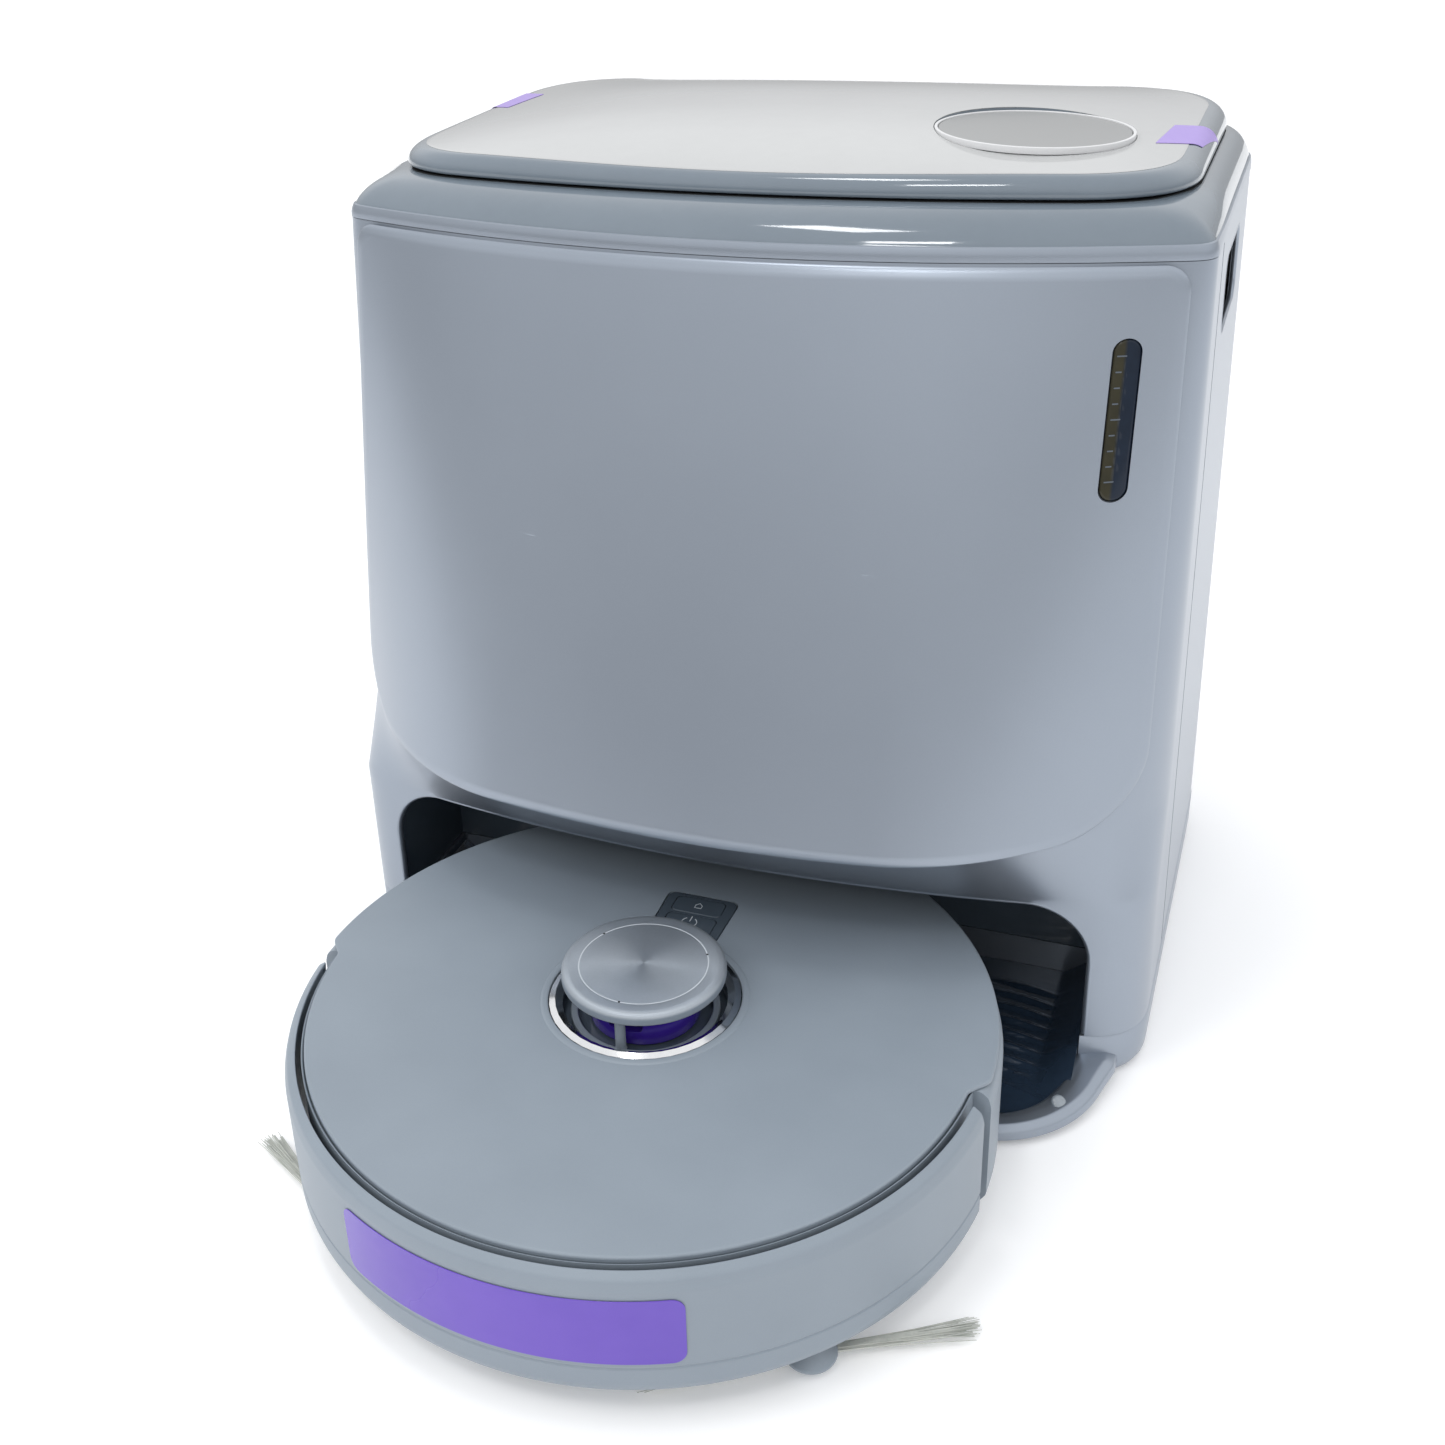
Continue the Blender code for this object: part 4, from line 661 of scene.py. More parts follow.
def buildLid():
    loop = lidOutline()
    middle = np.array([0, (lid["front"] + lid["rear"]) / 2])
    under = lid["collarTop"] + lid["lift"]
    foot = under + 0.0016

    def shrunk(share):
        return middle + (loop - middle) * share

    levels = ((0.97, 0.0), (0.99, 0.0), (0.998, 0.0006), (1.0, 0.0016))
    rings = [atHeight(shrunk(share), under + drop) for share, drop in levels]
    turn = np.linspace(0.12, 1, 12) * math.pi / 2
    shares = [(1 - lid["rounding"] * (1 - math.cos(angle)), math.sin(angle)) for angle in turn]
    shares += [(share, 1.0) for share in (0.945, 0.93, 0.9, 0.86, 0.81, 0.75, 0.68, 0.6, 0.51, 0.41, 0.3,
        0.2, 0.1, 0.02)]
    for share, lift in shares:
        plan = shrunk(share)
        rings.append(atHeight(plan, foot + (lidSurface(*plan.T) - foot) * lift))
    shape = bareMesh("lidShell", *ringStack(np.stack(rings), "fan"), 60)
    spot = Vector((lid["displayX"], lid["displayY"], float(lidSurface(lid["displayX"], lid["displayY"]))))
    tilt = Matrix.Translation(spot) @ Matrix.Rotation(math.radians(lid["lean"]), 4, "Y")
    radius = lid["displayRadius"]
    cutter = turnedMesh("displayCutter", [(radius + 0.0022, -0.0034), (radius + 0.0022, 0.01)],
        (0, 0, 0), 160)
    cutter.data.transform(tilt)
    # pale top skin, laid on the shell inside its rounded slate edge
    levels = [(share, 0.0) for share in (0.05, 0.3, 0.6, 0.9, 0.95)] + [(0.9512, 0.00008), (0.95, 0.00018)]
    levels += [(share, 0.0002) for share in (0.94, 0.9, 0.86, 0.8, 0.7, 0.6, 0.5, 0.4, 0.3, 0.2, 0.1, 0.05)]
    rings = [atHeight(shrunk(share), lidSurface(*shrunk(share).T) + lift) for share, lift in levels]
    skin = bareMesh("lidTopSkin", *ringStack(np.stack(rings), "fan"), 60)
    spare = cutter.copy()
    bpy.context.scene.collection.objects.link(spare)
    carve(skin, spare, sharp=60)
    settle(skin, "polishedPearl", "lid")
    carve(shape, cutter, sharp=60)
    settle(shape, "polishedSlate", "lid", ["lid"])
    face = softProfile([(0.001, -0.0031), (radius - 0.0002, -0.0031), (radius - 0.0002, -0.0002),
        (0.001, 0.0001)], 0.0004, closed=False)
    ring = softProfile([(radius + 0.0002, -0.0031), (radius + 0.0018, -0.0031), (radius + 0.0018, 0.0003),
        (radius + 0.0002, 0.0003)], 0.0004)
    for name, profile, closed, finish, slotName, node in (("displayFace", face, False, "satinDisplay",
            "gloss_slate", "lid_display"),
            ("displayRing", ring, True, "whiteAbs", "white_plastic", "display_ring")):
        piece = turnedMesh(name, profile, (0, 0, 0), 160, closed)
        piece.data.transform(tilt)
        settle(piece, finish, "lid", [node])

    # strips of packing tape, cut askew, that follow the lid over its rounded edge
    for name, middleX, middleY, halfY, skew in lid["tapes"]:
        halfX = lid["tapeHalf"]

        def onLid(u, v, height):
            x = middleX + u + 0.09 * v
            y = middleY + v + skew * u
            inward = np.clip(1 - (1 - np.abs(x) / lid["halfWidth"]) / lid["rounding"], 0, 1)
            return x, y, foot + (lidSurface(x, y) - foot) * np.sqrt(1 - inward ** 2) + 0.0005 + height

        def outline(inset):
            return roundedOutline(-halfX, halfX, -halfY, halfY, (0.0006,) * 4, inset, 6, 16, 16)

        tape = plateMesh(name, outline, plateProfile(0.0002, 0.0001, halfX - 0.0003, 12), onLid)
        settle(tape, "lavenderTape", "lid")


panel = {"halfLow": 0.218, "halfHigh": 0.213, "thickness": 0.0028, "lowCorner": 0.038,
    "highCorner": 0.012, "windowX": 0.1895, "windowHalf": 0.006, "windowLow": 0.318, "windowHigh": 0.3905,
    "markPitch": 0.007}


def buildPanel():
    s = station
    low, high = s["panelLow"], s["panelHigh"]

    def outline(inset):
        p = panel
        return roundedOutline(-p["halfLow"], p["halfLow"], low, high,
            (p["lowCorner"], p["highCorner"], p["highCorner"], p["lowCorner"]), inset, 14, 70, 20)

    def onFront(u, v, height):
        x = u * (1 + (panel["halfHigh"] / panel["halfLow"] - 1) * (v - low) / (high - low))
        return x, frontY(x, v) - height, v

    # a wide soft chamfer that catches the light all round
    bevel = [(0.0, -0.0018), (0.0004, -0.0011), (0.0012, -0.0007), (0.0024, -0.0004), (0.0036, -0.0002),
        (0.0046, 0.0)]
    profile = plateProfile(panel["thickness"], 0.0052, (high - low) / 2 - 0.0004, 22, bevel)
    shape = plateMesh("frontPanel", outline, profile, onFront)
    half = panel["windowHalf"]

    def capsule(inset):
        return roundedOutline(panel["windowX"] - half, panel["windowX"] + half, panel["windowLow"],
            panel["windowHigh"], (half,) * 4, inset, 12, 2, 12)

    carve(shape, prismMesh("windowCutter", capsule(-gap), -0.2, 0.2, "xzy"), sharp=50)
    settle(shape, "silverLacquer", "panel", ["front_panel"])
    window = plateMesh("levelWindow", capsule, plateProfile(0.0026, 0.0012, half - 0.0003, 5),
        lambda u, v, h: (u, frontY(u, v) + 0.0006 - h, v))
    settle(window, "smokedAcrylic", "panel", ["level_window"])
    # level marks up the window
    left = panel["windowX"] - 0.0042
    for index in range(9):
        z = panel["windowLow"] + 0.009 + index * panel["markPitch"]
        long = 0.0021 if index % 4 == 0 else 0.0013

        def mark(inset):
            return roundedOutline(left, left + 2 * long, z - 0.0003, z + 0.0003, (0.0002,) * 4,
                inset, 3, 2, 1)

        piece = plateMesh(f"levelMark{index + 1}", mark, [(0.0, -0.0002), (0.0, 0.0), (0.0001, 0.00006)],
            lambda u, v, h: (u, frontY(u, v) + 0.00055 - h, v))
        settle(piece, "fadedInk", "panel")


tray = {"halfWidth": 0.1985, "front": -0.077, "corner": 0.045, "top": 0.0088, "bottom": 0.0043,
    "ribPitch": 0.0105}


# a ramp at the front, a flat floor, banks up both sides, a raised rim, and washboard ribs by the walls
def trayHeight(x, y):
    ramp = np.clip((y - tray["front"]) / 0.028, 0, 1)
    floor = 0.003 + (tray["top"] - 0.003) * ramp
    bank = np.maximum(0, (np.abs(x) - 0.18) / 0.018) * np.clip((y + 0.045) / 0.03, 0, 1)
    beside = np.exp(-((np.abs(x) - 0.163) / 0.014) ** 2) * np.clip((y + 0.05) / 0.012, 0, 1)
    ribs = 0.0019 * beside * np.maximum(0, np.sin(tau * (y + 0.15 * np.abs(x)) / tray["ribPitch"]))
    return floor + 0.014 * bank + ribs * np.clip((0.05 - y) / 0.01, 0, 1)


def buildTray():
    y = np.concatenate([tray["front"] + 0.001 + 0.044 * (1 - np.cos(quarter(24)))[:-1],
        np.linspace(-0.032, station["bayRear"] - 2 * gap, 86)])
    width = trayWidth(y)
    share = np.sign(np.linspace(-1, 1, 161)) * np.abs(np.linspace(-1, 1, 161)) ** 0.75
    x = width[:, None] * share[None]
    top = paired(x, y[:, None], trayHeight(x, y[:, None]))
    low = np.where(y > station["lipY"] + station["standOff"] - 0.016, tray["bottom"], 0.0012)
    under = paired(x, y[:, None], low[:, None])
    shape = bareMesh("washTray", *ringStack(np.concatenate([top, under[:, ::-1]], 1)), 45)
    settle(shape, "polishedNavy", "station", ["wash_tray"])


# half width of the tray at each y: straight sides and a quarter circle at each front corner
def trayWidth(y):
    drop = np.maximum(0, tray["front"] + tray["corner"] - y)
    return tray["halfWidth"] - tray["corner"] + np.sqrt(np.maximum(0, tray["corner"] ** 2 - drop ** 2))


# a rounded grey rim round the tray's edge, wider and higher towards the feet
def buildTrayRim():
    y = tray["front"] + 0.0005 + 0.071 * (1 - np.cos(quarter(60)))
    side = np.stack([trayWidth(y), y], -1)
    front = np.stack([np.linspace(0, side[0, 0], 30)[:-1], np.full(29, side[0, 1])], -1)
    half = np.concatenate([front, side])
    path = np.concatenate([half[:0:-1] * (-1, 1), half])
    outwards = sideways(path)
    near = np.clip((path[:, 1] + 0.095) / 0.08, 0, 1) ** 1.3
    top = 0.0092 + 0.007 * near
    innerX, outerX = -0.013, 0.001
    inner = innerX + 0.01 * near
    outer = outerX + 0.019 * near
    section = softProfile([(innerX, -0.004), (-0.0105, -0.0006), (-0.0075, 0.0), (-0.0025, -0.0002),
        (0.0004, -0.003), (outerX, -0.0078), (-0.011, -0.0078)], 0.001)
    across = inner[:, None] + (outer - inner)[:, None] * (section[:, 0] - innerX) / (outerX - innerX)
    plan = path[:, None] + outwards[:, None] * across[:, :, None]
    z = np.maximum(0.0012, top[:, None] + section[None, :, 1])
    rim = bareMesh("trayRim", *ringStack(atHeight(plan, z), "fan"), 50)
    settle(rim, "silverLacquer", "station")
    # clear domed lens on the rim at the right
    lens = softProfile([(0.004, -0.002), (0.004, 0.0004), (0.003, 0.0012), (0.0005, 0.0016)], 0.0006,
        closed=False)
    dome = turnedMesh("rimLens", lens, (0, 0, 0), 48)
    away = Vector((0.35, -0.35, 0.87)).to_track_quat("Z", "Y").to_matrix().to_4x4()
    spot = np.flatnonzero((path[:, 0] > 0) & (path[:, 1] > -0.052))[0]
    foot = path[spot] + 0.5 * (inner[spot] + outer[spot]) * outwards[spot]
    dome.data.transform(Matrix.Translation((foot[0], foot[1], top[spot])) @ away)
    settle(dome, "clearLens", "station")


for build in (buildFrontFrame, buildRearShell, buildBase, buildCollar, buildLid, buildPanel, buildTray,
        buildTrayRim):
    build()
print("station built")


robot = {"radius": 0.175, "coverTop": 0.0862, "bumperHalf": math.radians(83), "bumperWall": 0.0038,
    "lip": 0.1692, "travel": 0.0025, "turretY": 0.004, "turretHole": 0.048, "buttonY": 0.073,
    "wheelX": 0.116, "wheelY": 0.012, "axleZ": 0.035, "rollerY": -0.042, "rollerZ": 0.029,
    "casterY": -0.137, "mopX": 0.068, "mopY": 0.098, "mopSeed": 5, "nap": 0.0006}
brush = {"x": 0.118, "y": -0.108, "reach": 0.078, "angle": math.radians(30.5), "fibres": 56, "seed": 11}
robotCentre = (0, robotY, 0)
turretCentre = (0, robotY + robot["turretY"], 0)
keys = (("home", 0.0092, 0.007), ("power", -0.0078, 0.0085))


def buildChassis():
    inner = robot["lip"] - robot["travel"] - gap
    inside = inner - 0.004
    profile = [(0.001, 0.014), (0.163, 0.014), (0.171, 0.0175), (0.175, 0.024), (0.175, 0.0765),
        (0.1735, 0.0815), (0.17, 0.084), (0.1654, 0.084), (0.1654, 0.0812), (0.156, 0.0812),
        (0.156, 0.0785), (inside, 0.0785), (inside, 0.018), (0.001, 0.018)]
    shape = turnedMesh("chassis", softProfile(profile, 0.0016, closed=False), robotCentre, 240)
    turn = math.radians(86.5)
    ring = [(inner, -0.01), (0.2, -0.01), (0.2, 0.2), (inner, 0.2)]
    nose = turnedMesh("noseCutter", ring, robotCentre, 120, True, -math.pi / 2 - turn, 2 * turn)
    cutters = [nose]
    for sign in (-1, 1):
        well = roundedOutline(sign * 0.1105 - 0.0235, sign * 0.1105 + 0.0235, robotY - 0.031,
            robotY + 0.055, (0.004,) * 4)
        cutters.append(prismMesh("wellCutter", well, -0.04, 0.06, "xyz"))
        for radius, x, y in ((0.0135, sign * brush["x"], brush["y"]),
                (0.007, sign * robot["mopX"], robot["mopY"])):
            cutters.append(turnedMesh("holeCutter", [(radius, 0), (radius, 0.05)], (x, robotY + y, 0), 48))
    mouth = roundedOutline(-0.086, 0.086, robotY - 0.069, robotY - 0.015, (0.002,) * 4)
    cutters.append(prismMesh("mouthCutter", mouth, -0.04, 0.06, "xyz"))
    cutters.append(turnedMesh("forkCutter", [(0.015, 0), (0.015, 0.05)],
        (0, robotY + robot["casterY"], 0), 48))
    for cutter in cutters:
        carve(shape, cutter)
    settle(shape, "mattSlateAbs", "robot", ["chassis"])


# a rounded square that widens a little towards the station
def buttonOutline(margin, inset=0.0):
    points = roundedOutline(-0.019 - margin, 0.019 + margin, -0.019 - margin, 0.019 + margin,
        (0.005,) * 4, inset, 8, 6, 3)
    return np.stack([points[:, 0] * (1 + 1.5 * points[:, 1]), points[:, 1] + robot["buttonY"] + robotY], -1)


cover = {"reach": 0.008, "reachStart": math.radians(84.5), "reachBend": math.radians(5)}


def buildCover():
    # past the bumper's ends the cover reaches out over the body's rim, with an S-curve between
    profile = softProfile([(0.001, 0.0836), (0.16, 0.0836), (0.162, 0.0815), (0.1648, 0.0815),
        (0.1648, 0.0843), (0.1649, 0.0847), (0.1648, 0.0856), (0.164, 0.0862), (0.001, 0.0862)],
        0.0006, 3, False)
    turn = fullTurn(720)
    fromFront = np.abs((turn + math.pi / 2 + math.pi) % tau - math.pi)
    share = np.clip((fromFront - cover["reachStart"]) / cover["reachBend"], 0, 1)
    reach = cover["reach"] * share * share * (3 - 2 * share)
    outer = (profile[:, :1] > 0.15) * (profile[:, 1:] > 0.0845)
    rings = aroundAxis(robotCentre, profile[:, :1] + reach[None] * outer, turn, profile[:, 1:])
    shape = bareMesh("topCover", *ringStack(rings, "fan"))
    hole = turnedMesh("turretCutter", [(robot["turretHole"], 0.05), (robot["turretHole"], 0.12)],
        turretCentre, 200)
    carve(shape, hole, prismMesh("buttonCutter", buttonOutline(2 * gap), 0.05, 0.12, "xyz"))
    settle(shape, "mattSlateAbs", "cover", ["top_cover"])
    # soft raised lip round the turret's hole
    lip = softProfile([(0.048, 0.0852), (0.0522, 0.0861), (0.051, 0.0867), (0.0488, 0.0869),
        (0.048, 0.0866)], 0.0006)
    settle(turnedMesh("turretLip", lip, turretCentre, 160, True), "mattSlateAbs", "cover")


def buildBumper():
    radius = robot["radius"]
    wall = radius - robot["bumperWall"]
    profile = [(wall, 0.0195), (0.1735, 0.0195), (radius, 0.0235), (radius, 0.033), (0.1745, 0.0336),
        (0.1745, 0.0342), (radius, 0.0348), (radius, 0.0765), (0.1735, 0.0815), (0.17, 0.084),
        (robot["lip"], 0.084), (robot["lip"], 0.0822), (wall, 0.0795)]
    half = robot["bumperHalf"]
    shape = turnedMesh("bumper", softProfile(profile, 0.0012), robotCentre, 200, True,
        -math.pi / 2 - half, 2 * half)
    settle(shape, "mattSlateAbs", "bumper", ["bumper"])

    def outline(inset):
        return roundedOutline(-0.0825, 0.0825, 0.037, 0.073, (0.006,) * 4, inset, 8, 60, 6)

    def onBumper(u, v, height):
        angle = u / radius - math.pi / 2
        r = 0.1756 + height
        return r * np.cos(angle), robotY + r * np.sin(angle), v

    film = plateMesh("bumperFilm", outline, plateProfile(0.0003, 0.0002, 0.0175, 10), onBumper)
    settle(film, "violetTransitFilm", "bumper", ["bumper_film"])


def buildTurret():
    centre = turretCentre
    base = softProfile([(0.001, 0.074), (0.0075, 0.074), (0.0075, 0.077), (0.0415, 0.077),
        (0.044, 0.0828), (0.047, 0.0828), (0.047, 0.07), (0.001, 0.07)], 0.0004, closed=False)
    settle(turnedMesh("turretWell", base, centre, 120), "darkPolishedAbs", "robot",
        ["lidar_base"])
    # bright ring cut into long facets, each row half a step round from the next
    count = 40
    rows = [(0.041, 0.0832), (0.0475, 0.0832), (0.0476, 0.0862), (0.0446, 0.0874), (0.041, 0.0852)]
    turn = tau * (np.arange(count)[None] + np.array([0, 0, 0, 0.5, 0])[:, None]) / count
    r, z = np.array(rows).T[..., None]
    ring = bareMesh("turretRing", *ringLoop(aroundAxis(centre, r, turn, z)), 8)
    settle(ring, "brightPlating", "robot", ["lidar_ring"])
    rotor = softProfile([(0.001, 0.0744), (0.0068, 0.0744), (0.0068, 0.0776), (0.0275, 0.0776),
        (0.0275, 0.0955), (0.001, 0.0955)], 0.001, closed=False)
    drum = turnedMesh("laserDrum", rotor, centre, 120)
    slot = roundedOutline(-0.009, 0.009, 0.0855, 0.0915, (0.0022,) * 4)
    carve(drum, prismMesh("slotCutter", slot, centre[1] - 0.04, centre[1] - 0.018, "xzy"))
    settle(drum, "violetPolycarbonate", "turret_rotor", ["lidar_rotor"])
    # cap: rolled edge and a fine turned groove
    under = 0.0982
    cap = softProfile([(0.001, under), (0.038, under), (0.0407, under + 0.0018), (0.0407, 0.1038),
        (0.0393, 0.1055), (0.0372, 0.106), (0.032, 0.106), (0.0318, 0.1058), (0.0316, 0.106),
        (0.001, 0.106)], 0.0008, closed=False)
    makeBrushedCap(centre)
    settle(turnedMesh("turretCap", cap, centre, 200), "turnedAluminium", "turret_cap",
        ["lidar_cap"])
    line = softProfile([(0.0315, 0.1057), (0.0321, 0.1057), (0.0321, 0.10605), (0.0315, 0.10605)], 0.0001,
        2)
    settle(turnedMesh("capLine", line, centre, 160, True), "printedInk", "turret_cap")
    for index in range(3):
        angle = math.radians(-90 + 120 * index)
        spot = (0.0325 * math.cos(angle), centre[1] + 0.0325 * math.sin(angle), 0)
        pillar = softProfile([(0.003, 0.079), (0.0026, 0.08), (0.0026, 0.0975),
            (0.0034, under + 0.0004)], 0.0006, closed=False)
        settle(turnedMesh(f"capPillar{index + 1}", pillar, spot, 32), "mattSlateAbs", "turret_cap")
        dot = [(0.0006, 0.1058), (0.0006, 0.10608), (0.0002, 0.10612)]
        spot = (0.0318 * math.cos(angle), centre[1] + 0.0318 * math.sin(angle), 0)
        settle(turnedMesh(f"capDot{index + 1}", dot, spot, 16), "gapShadeAndDotBlack", "turret_cap")
    # low inner ring that carries the pillars
    guard = softProfile([(0.0335, 0.0772), (0.0372, 0.0772), (0.0372, 0.08), (0.0335, 0.08)], 0.0008)
    settle(turnedMesh("guardRing", guard, centre, 140, True), "mattSlateAbs", "robot")


# a flat ribbon of even width along a path in plan, closed or open, raised a little from the key
def ribbonMesh(name, path, width, low, high, closed=False):
    path = np.asarray(path, float)
    side = sideways(path, closed) * width / 2
    edges = ((-1, low), (1, low), (1, high), (-1, high))
    rings = np.stack([atHeight(path + side * across, height) for across, height in edges], 1)
    made = ringLoop(rings) if closed else ringStack(rings)
    return bareMesh(name, *made, 40)


def buildButtons():
    top = robot["coverTop"] + 0.0002
    plate = plateMesh("buttonPlate", lambda inset: buttonOutline(0, inset),
        plateProfile(0.0162, 0.0008, 0.0185, 5), lambda u, v, h: (u, v, top + h))
    for name, offset, height in keys:
        y = robotY + robot["buttonY"] + offset
        well = roundedOutline(-0.014, 0.014, y - height, y + height, (0.003,) * 4)
        carve(plate, prismMesh("keyCutter", well, top - 0.006, top + 0.01, "xyz"))
    settle(plate, "darkPolishedAbs", "robot", ["button_panel"])
    for name, offset, height in keys:
        y = robotY + robot["buttonY"] + offset

        def outline(inset):
            return roundedOutline(-0.0137, 0.0137, y - height + gap, y + height - gap, (0.003,) * 4,
                inset, 8, 6, 3)

        key = plateMesh(name + "Key", outline, plateProfile(0.0042, 0.0006, height - 0.0007, 5),
            lambda u, v, h: (u, v, top + 0.0002 + h))
        settle(key, "darkPolishedAbs", name + "_key", [name + "_button"])
    # plain house and power marks
    house = np.array([(-0.0018, -0.0018), (0.0018, -0.0018), (0.0018, 0.0006), (0.0, 0.0024),
        (-0.0018, 0.0006)])
    high = top + 0.00032
    turn = np.linspace(math.radians(125), math.radians(415), 40)
    ring = np.stack([0.004 * np.cos(turn), 0.004 * np.sin(turn)], -1)
    bar = np.array([(0.0, 0.0008), (0.0, 0.003), (0.0, 0.0052)])
    for name, path, offset, closed, body in (("houseMark", house, 0.0092, True, "home_key"),
            ("powerRing", ring, -0.0058, False, "power_key"),
            ("powerBar", bar, -0.0058, False, "power_key")):
        path = path + (0, robotY + robot["buttonY"] + offset)
        settle(ribbonMesh(name, path, 0.0005, high - 0.0002, high, closed), "printedInk", body)


def buildWheels():
    # driving wheels: tyre with a deep chevron tread, worked out as a radius over angle and width
    turn = fullTurn(180)
    for side, sign in sides:
        axle = np.array([sign * robot["wheelX"], robotY + robot["wheelY"], robot["axleZ"]])
        section = softProfile([(0.0053, -0.009), (0.032, -0.009), (0.035, -0.0068), (0.035, -0.0034),
            (0.035, 0.0034), (0.035, 0.0068), (0.032, 0.009), (0.0053, 0.009)], 0.0018)
        r, across = section.T[..., None]
        chevron = np.clip(3 * np.sin(24 * turn[None] + 500 * np.abs(across)), -1, 1)
        r = r - 0.0007 * (1 - chevron) * (r > 0.0335)
        rings = paired(axle[0] + across, axle[1] + r * np.cos(turn), axle[2] + r * np.sin(turn))
        settle(bareMesh(f"{side}Tyre", *ringLoop(rings), 30), "mouldedRubber", f"wheel_{side}",
            [f"wheel_{side}"])
    # main roller: six blades twisted into a shallow V along its length
    x = np.linspace(-0.08, 0.08, 60)
    blade = 0.5 + 0.5 * np.cos(6 * (turn[None] + 5.0 * np.abs(x)[:, None]))
    r = 0.0138 + 0.0062 * blade ** 8
    rings = paired(x[:, None], robotY + robot["rollerY"] + r * np.cos(turn),
        robot["rollerZ"] + r * np.sin(turn))
    settle(bareMesh("mainRoller", *ringStack(rings, "fan"), 40), "mouldedRubber", "roller",
        ["roller_brush"])
    # caster wheel, turned upright and laid on its side
    section = softProfile([(0.001, -0.0078), (0.011, -0.0078), (0.0125, -0.006), (0.0125, 0.006),
        (0.011, 0.0078), (0.001, 0.0078)], 0.001, closed=False)
    wheel = turnedMesh("casterTyre", section, (0, 0, 0), 64)
    wheel.data.transform(Matrix.Translation((0, robotY + robot["casterY"],
        0.0125)) @ Matrix.Rotation(math.radians(90), 4, "Y"))
    settle(wheel, "mouldedRubber", "caster_wheel", ["caster_wheel"])


# each tuft is a sheaf of tapered fibres that start close together and fan out and droop a little
def buildSideBrushes():
    rng = np.random.default_rng(brush["seed"])
    for side, sign in sides:
        at = np.array([sign * brush["x"], robotY + brush["y"], 0])
        hub = softProfile([(0.001, 0.003), (0.011, 0.003), (0.0125, 0.006), (0.006, 0.012),
            (0.006, 0.03), (0.001, 0.03)], 0.0012, closed=False)
        settle(turnedMesh(f"{side}BrushHub", hub, at, 64), "mattSlateAbs", f"side_brush_{side}",
            [f"side_brush_{side}"])
        lead = brush["angle"] if sign > 0 else math.pi - brush["angle"]
        count = 2 * brush["fibres"]
        tuft = lead + math.pi * (np.arange(count) % 2)
        spread = rng.normal(0, 0.045, count)
        start = rng.uniform(-1, 1, (count, 2)) * (0.002, 0.001)
        long = brush["reach"] * rng.uniform(0.9, 1.0, count)
        t = np.linspace(0, 1, 9)
        along = 0.006 + (long[:, None] - 0.006) * t
        across = start[:, :1] + along * np.tan(spread)[:, None] * 0.55 + 0.002 * t ** 2 * rng.normal(0,
            1, (count, 1))
        high = 0.0052 + start[:, 1:] - 0.0012 * t[None]
        thick = 0.00042 * (1 - 0.55 * t)[None, :, None]
        turn = fullTurn(5)
        a = across[..., None] + thick * np.cos(turn)
        z = high[..., None] + thick * np.sin(turn)
        l = along[..., None] + 0 * turn
        c, n = np.cos(tuft)[:, None, None], np.sin(tuft)[:, None, None]
        points = np.stack([at[0] + l * c - a * n, at[1] + l * n + a * c, z], -1)
        quads = gridQuads(9, 5, wrapCols=True)
        step = (np.arange(count) * 45)[:, None, None]
        ends = np.array([[4, 3, 2, 1, 0], [40, 41, 42, 43, 44]])
        sets = [(quads[None] + step).reshape(-1, 4), (ends[None] + step).reshape(-1, 5)]
        settle(bareMesh(f"{side}BrushTufts", points, sets, 80), "nylonBristle",
            f"side_brush_{side}")


# mop pad: a disc whose rim is pushed in and out a little, as looped cloth is
def buildMops():
    rng = np.random.default_rng(robot["mopSeed"])
    for side, sign in sides:
        centre = np.array([sign * robot["mopX"], robotY + robot["mopY"], 0])
        section = softProfile([(0.001, 0.0112), (0.06, 0.0112), (0.0618, 0.012), (0.0618, 0.0133),
            (0.0062, 0.0136), (0.0062, 0.03), (0.001, 0.03)], 0.0008, closed=False)
        turn = fullTurn(240)
        wave = sum(rng.uniform(0.2, 1) * np.sin(k * turn + rng.uniform(0, tau))
            for k in (9, 17, 31, 47)) / 4
        rim = section[:, :1] > 0.05
        r = section[:, :1] + robot["nap"] * wave[None] * rim - robot["nap"] * rim
        rings = aroundAxis(centre, r, turn, section[:, 1:])
        settle(bareMesh(f"{side}MopPad", *ringStack(rings, "fan"), 50), "loopedMicrofibre", f"mop_{side}",
            [f"mop_{side}"])


for build in (buildChassis, buildCover, buildBumper, buildTurret, buildButtons, buildWheels,
        buildSideBrushes, buildMops):
    build()
print("robot built")

# the CAD nodes that keep their own shape take a finish for their record slot
slotFinish = {"slate_plastic": "mattSlateAbs", "silver_paint": "silverLacquer",
    "gloss_slate": "polishedSlate", "gloss_lid": "polishedPearl", "smoked_window": "smokedAcrylic",
    "navy_tray": "polishedNavy", "dark_plastic": "erodedBlackAbs", "black_rubber": "mouldedRubber",
    "contact_metal": "brightPlating", "ring_metal": "brightPlating", "clear_tank": "clearPolystyrene",
    "grey_tank": "smokedPolystyrene", "white_plastic": "whiteAbs", "bag_fleece": "polypropyleneFleece",
    "circuit_board": "greenSolderMask", "brushed_cap": "turnedAluminium",
    "violet_rotor": "violetPolycarbonate", "violet_film": "violetTransitFilm", "bristle": "nylonBristle",
    "mop_cloth": "loopedMicrofibre"}
nodeFinish = {"bay_liner": "darkPolishedAbs"}
for part in frame["record"]["subparts"]:
    shape = frame["nodes"][part["node"]]
    for place in shape.material_slots:
        place.material = finishes[nodeFinish.get(part["node"], slotFinish[part["material_slot"]])]
print("CAD nodes finished")


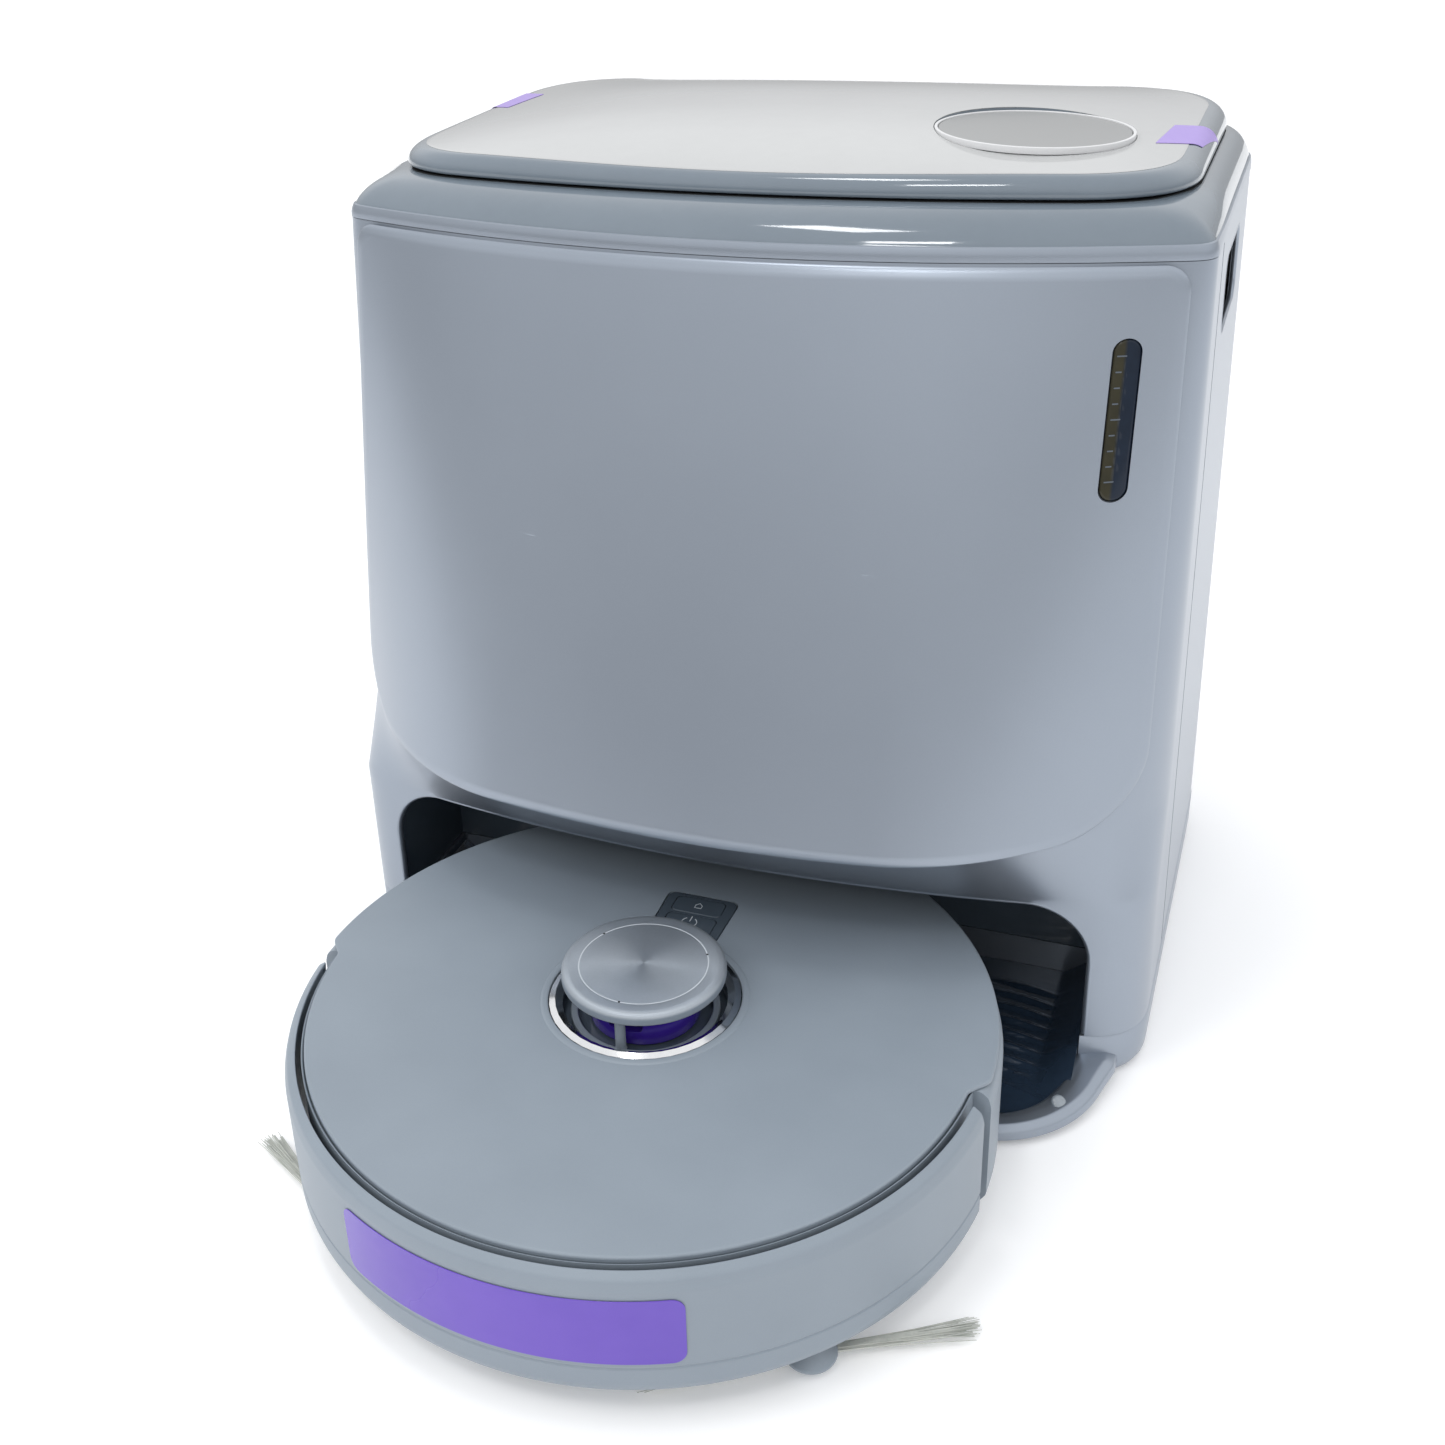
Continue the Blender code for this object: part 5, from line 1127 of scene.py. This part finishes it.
view = {"place": (0.26822, -0.74655, 0.61909), "yaw": 22.341, "pitch": 26.293, "roll": -2.529,
    "lens": 42.527, "shift": (0.04871, -0.05996)}
# strengths, and lamps: name, place, size, watts and whether glossy surfaces mirror them
light = {"horizon": 0.46, "zenith": 1.12, "rightBoost": 0.05, "frontWay": (-0.28, -0.86, -0.43),
    "frontEdge": 0.62, "frontShare": 0.5, "lamps": (("keyLight", (-1.3, -1.3, 2.1), (1.3, 1.3), 13, False),
    ("sideLight", (2.0, -0.2, 1.5), (0.8, 1.8), 0.6, False),
    ("ceilingLight", (-0.3, -0.25, 2.5), (0.55, 0.25), 5, True),
    ("windowLight", (0.1, -1.15, 1.75), (0.3, 0.18), 2.5, True))}


def buildStage():
    floor = bareMesh("studioFloor", [(-9, -9, 0), (9, -9, 0), (9, 9, 0), (-9, 9, 0)],
        [np.array([[0, 1, 2, 3]])])
    makeFinish("paintedFloor", ("#f4f4f5", "#f9f9f9"), (0.55, 0.65), 4, 0.05, 400)
    floor.data.materials.append(finishes["paintedFloor"])
    glow = finishes["paintedFloor"].node_tree.nodes["Principled BSDF"].inputs
    glow["Emission Color"].default_value = (1, 1, 1, 1)
    glow["Emission Strength"].default_value = 0.16
    floor.location.z = -0.0004
    # bright above and to the right, dimmer all round low down, and a soft dark mass in front
    world = bpy.data.worlds.new("studio")
    world.use_nodes = True
    tree = world.node_tree
    tree.nodes.clear()
    way = addNode(tree, "TexCoord", {}, {})
    axes = addNode(tree, "SeparateXYZ", {}, {0: way.outputs["Generated"]})
    height = addNode(tree, "MapRange",
        {"interpolation_type": "SMOOTHSTEP", "From Min": -0.05, "From Max": 0.5,
        "To Min": light["horizon"], "To Max": light["zenith"]}, {"Value": axes.outputs["Z"]})
    beside = addNode(tree, "MapRange",
        {"interpolation_type": "SMOOTHSTEP", "From Min": -0.1, "From Max": 0.9, "To Min": 0.0,
        "To Max": light["rightBoost"]}, {"Value": axes.outputs["X"]})
    total = addNode(tree, "Math", {"operation": "ADD"}, {0: height.outputs[0], 1: beside.outputs[0]})
    toFront = addNode(tree, "VectorMath", {"operation": "DOT_PRODUCT", 1: light["frontWay"]},
        {0: way.outputs["Generated"]})
    front = addNode(tree, "MapRange", {"interpolation_type": "SMOOTHSTEP", "From Min": light["frontEdge"],
        "From Max": 0.98, "To Min": 1.0, "To Max": light["frontShare"]},
        {"Value": toFront.outputs["Value"]})
    strength = addNode(tree, "Math", {"operation": "MULTIPLY"}, {0: total.outputs[0], 1: front.outputs[0]})
    lit = addNode(tree, "Background", {"Color": (0.975, 0.985, 1.0, 1)}, {"Strength": strength.outputs[0]})
    seen = addNode(tree, "Background", {"Color": (0.97, 0.97, 0.975, 1), "Strength": 1.0}, {})
    ray = addNode(tree, "LightPath", {}, {})
    either = addNode(tree, "MixShader", {},
        {0: ray.outputs["Is Camera Ray"], 1: lit.outputs[0], 2: seen.outputs[0]})
    addNode(tree, "OutputWorld", {}, {"Surface": either.outputs[0]})
    bpy.context.scene.world = world
    for name, spot, size, power, inGloss in light["lamps"]:
        lamp = bpy.data.lights.new(name, "AREA")
        lamp.shape = "RECTANGLE"
        lamp.size, lamp.size_y = size
        lamp.energy = power
        holder = bpy.data.objects.new(name, lamp)
        holder.location = spot
        holder.visible_glossy = inGloss
        holder.rotation_euler = (Vector((0, 0, 0.2)) - Vector(spot)).to_track_quat("-Z", "Y").to_euler()
        bpy.context.scene.collection.objects.link(holder)


# the view's axes: yaw and pitch set the way ahead, and roll turns the other two round it
def buildCamera():
    yaw, pitch, roll = [math.radians(view[key]) for key in ("yaw", "pitch", "roll")]
    ahead = Vector((-math.sin(yaw) * math.cos(pitch), math.cos(yaw) * math.cos(pitch), -math.sin(pitch)))
    right = ahead.cross(Vector((0, 0, 1))).normalized()
    above = right.cross(ahead)
    turnedRight = math.cos(roll) * right + math.sin(roll) * above
    turnedAbove = math.cos(roll) * above - math.sin(roll) * right
    data = bpy.data.cameras.new("camera")
    data.lens = view["lens"]
    data.sensor_width = 36
    data.shift_x, data.shift_y = view["shift"]
    camera = bpy.data.objects.new("camera", data)
    bpy.context.scene.collection.objects.link(camera)
    basis = Matrix((turnedRight, turnedAbove, -ahead)).transposed().to_4x4()
    camera.matrix_world = Matrix.Translation(view["place"]) @ basis
    bpy.context.scene.camera = camera


buildStage()
buildCamera()
bpy.context.scene.view_settings.view_transform = "Standard"
print("stage, light and camera set")
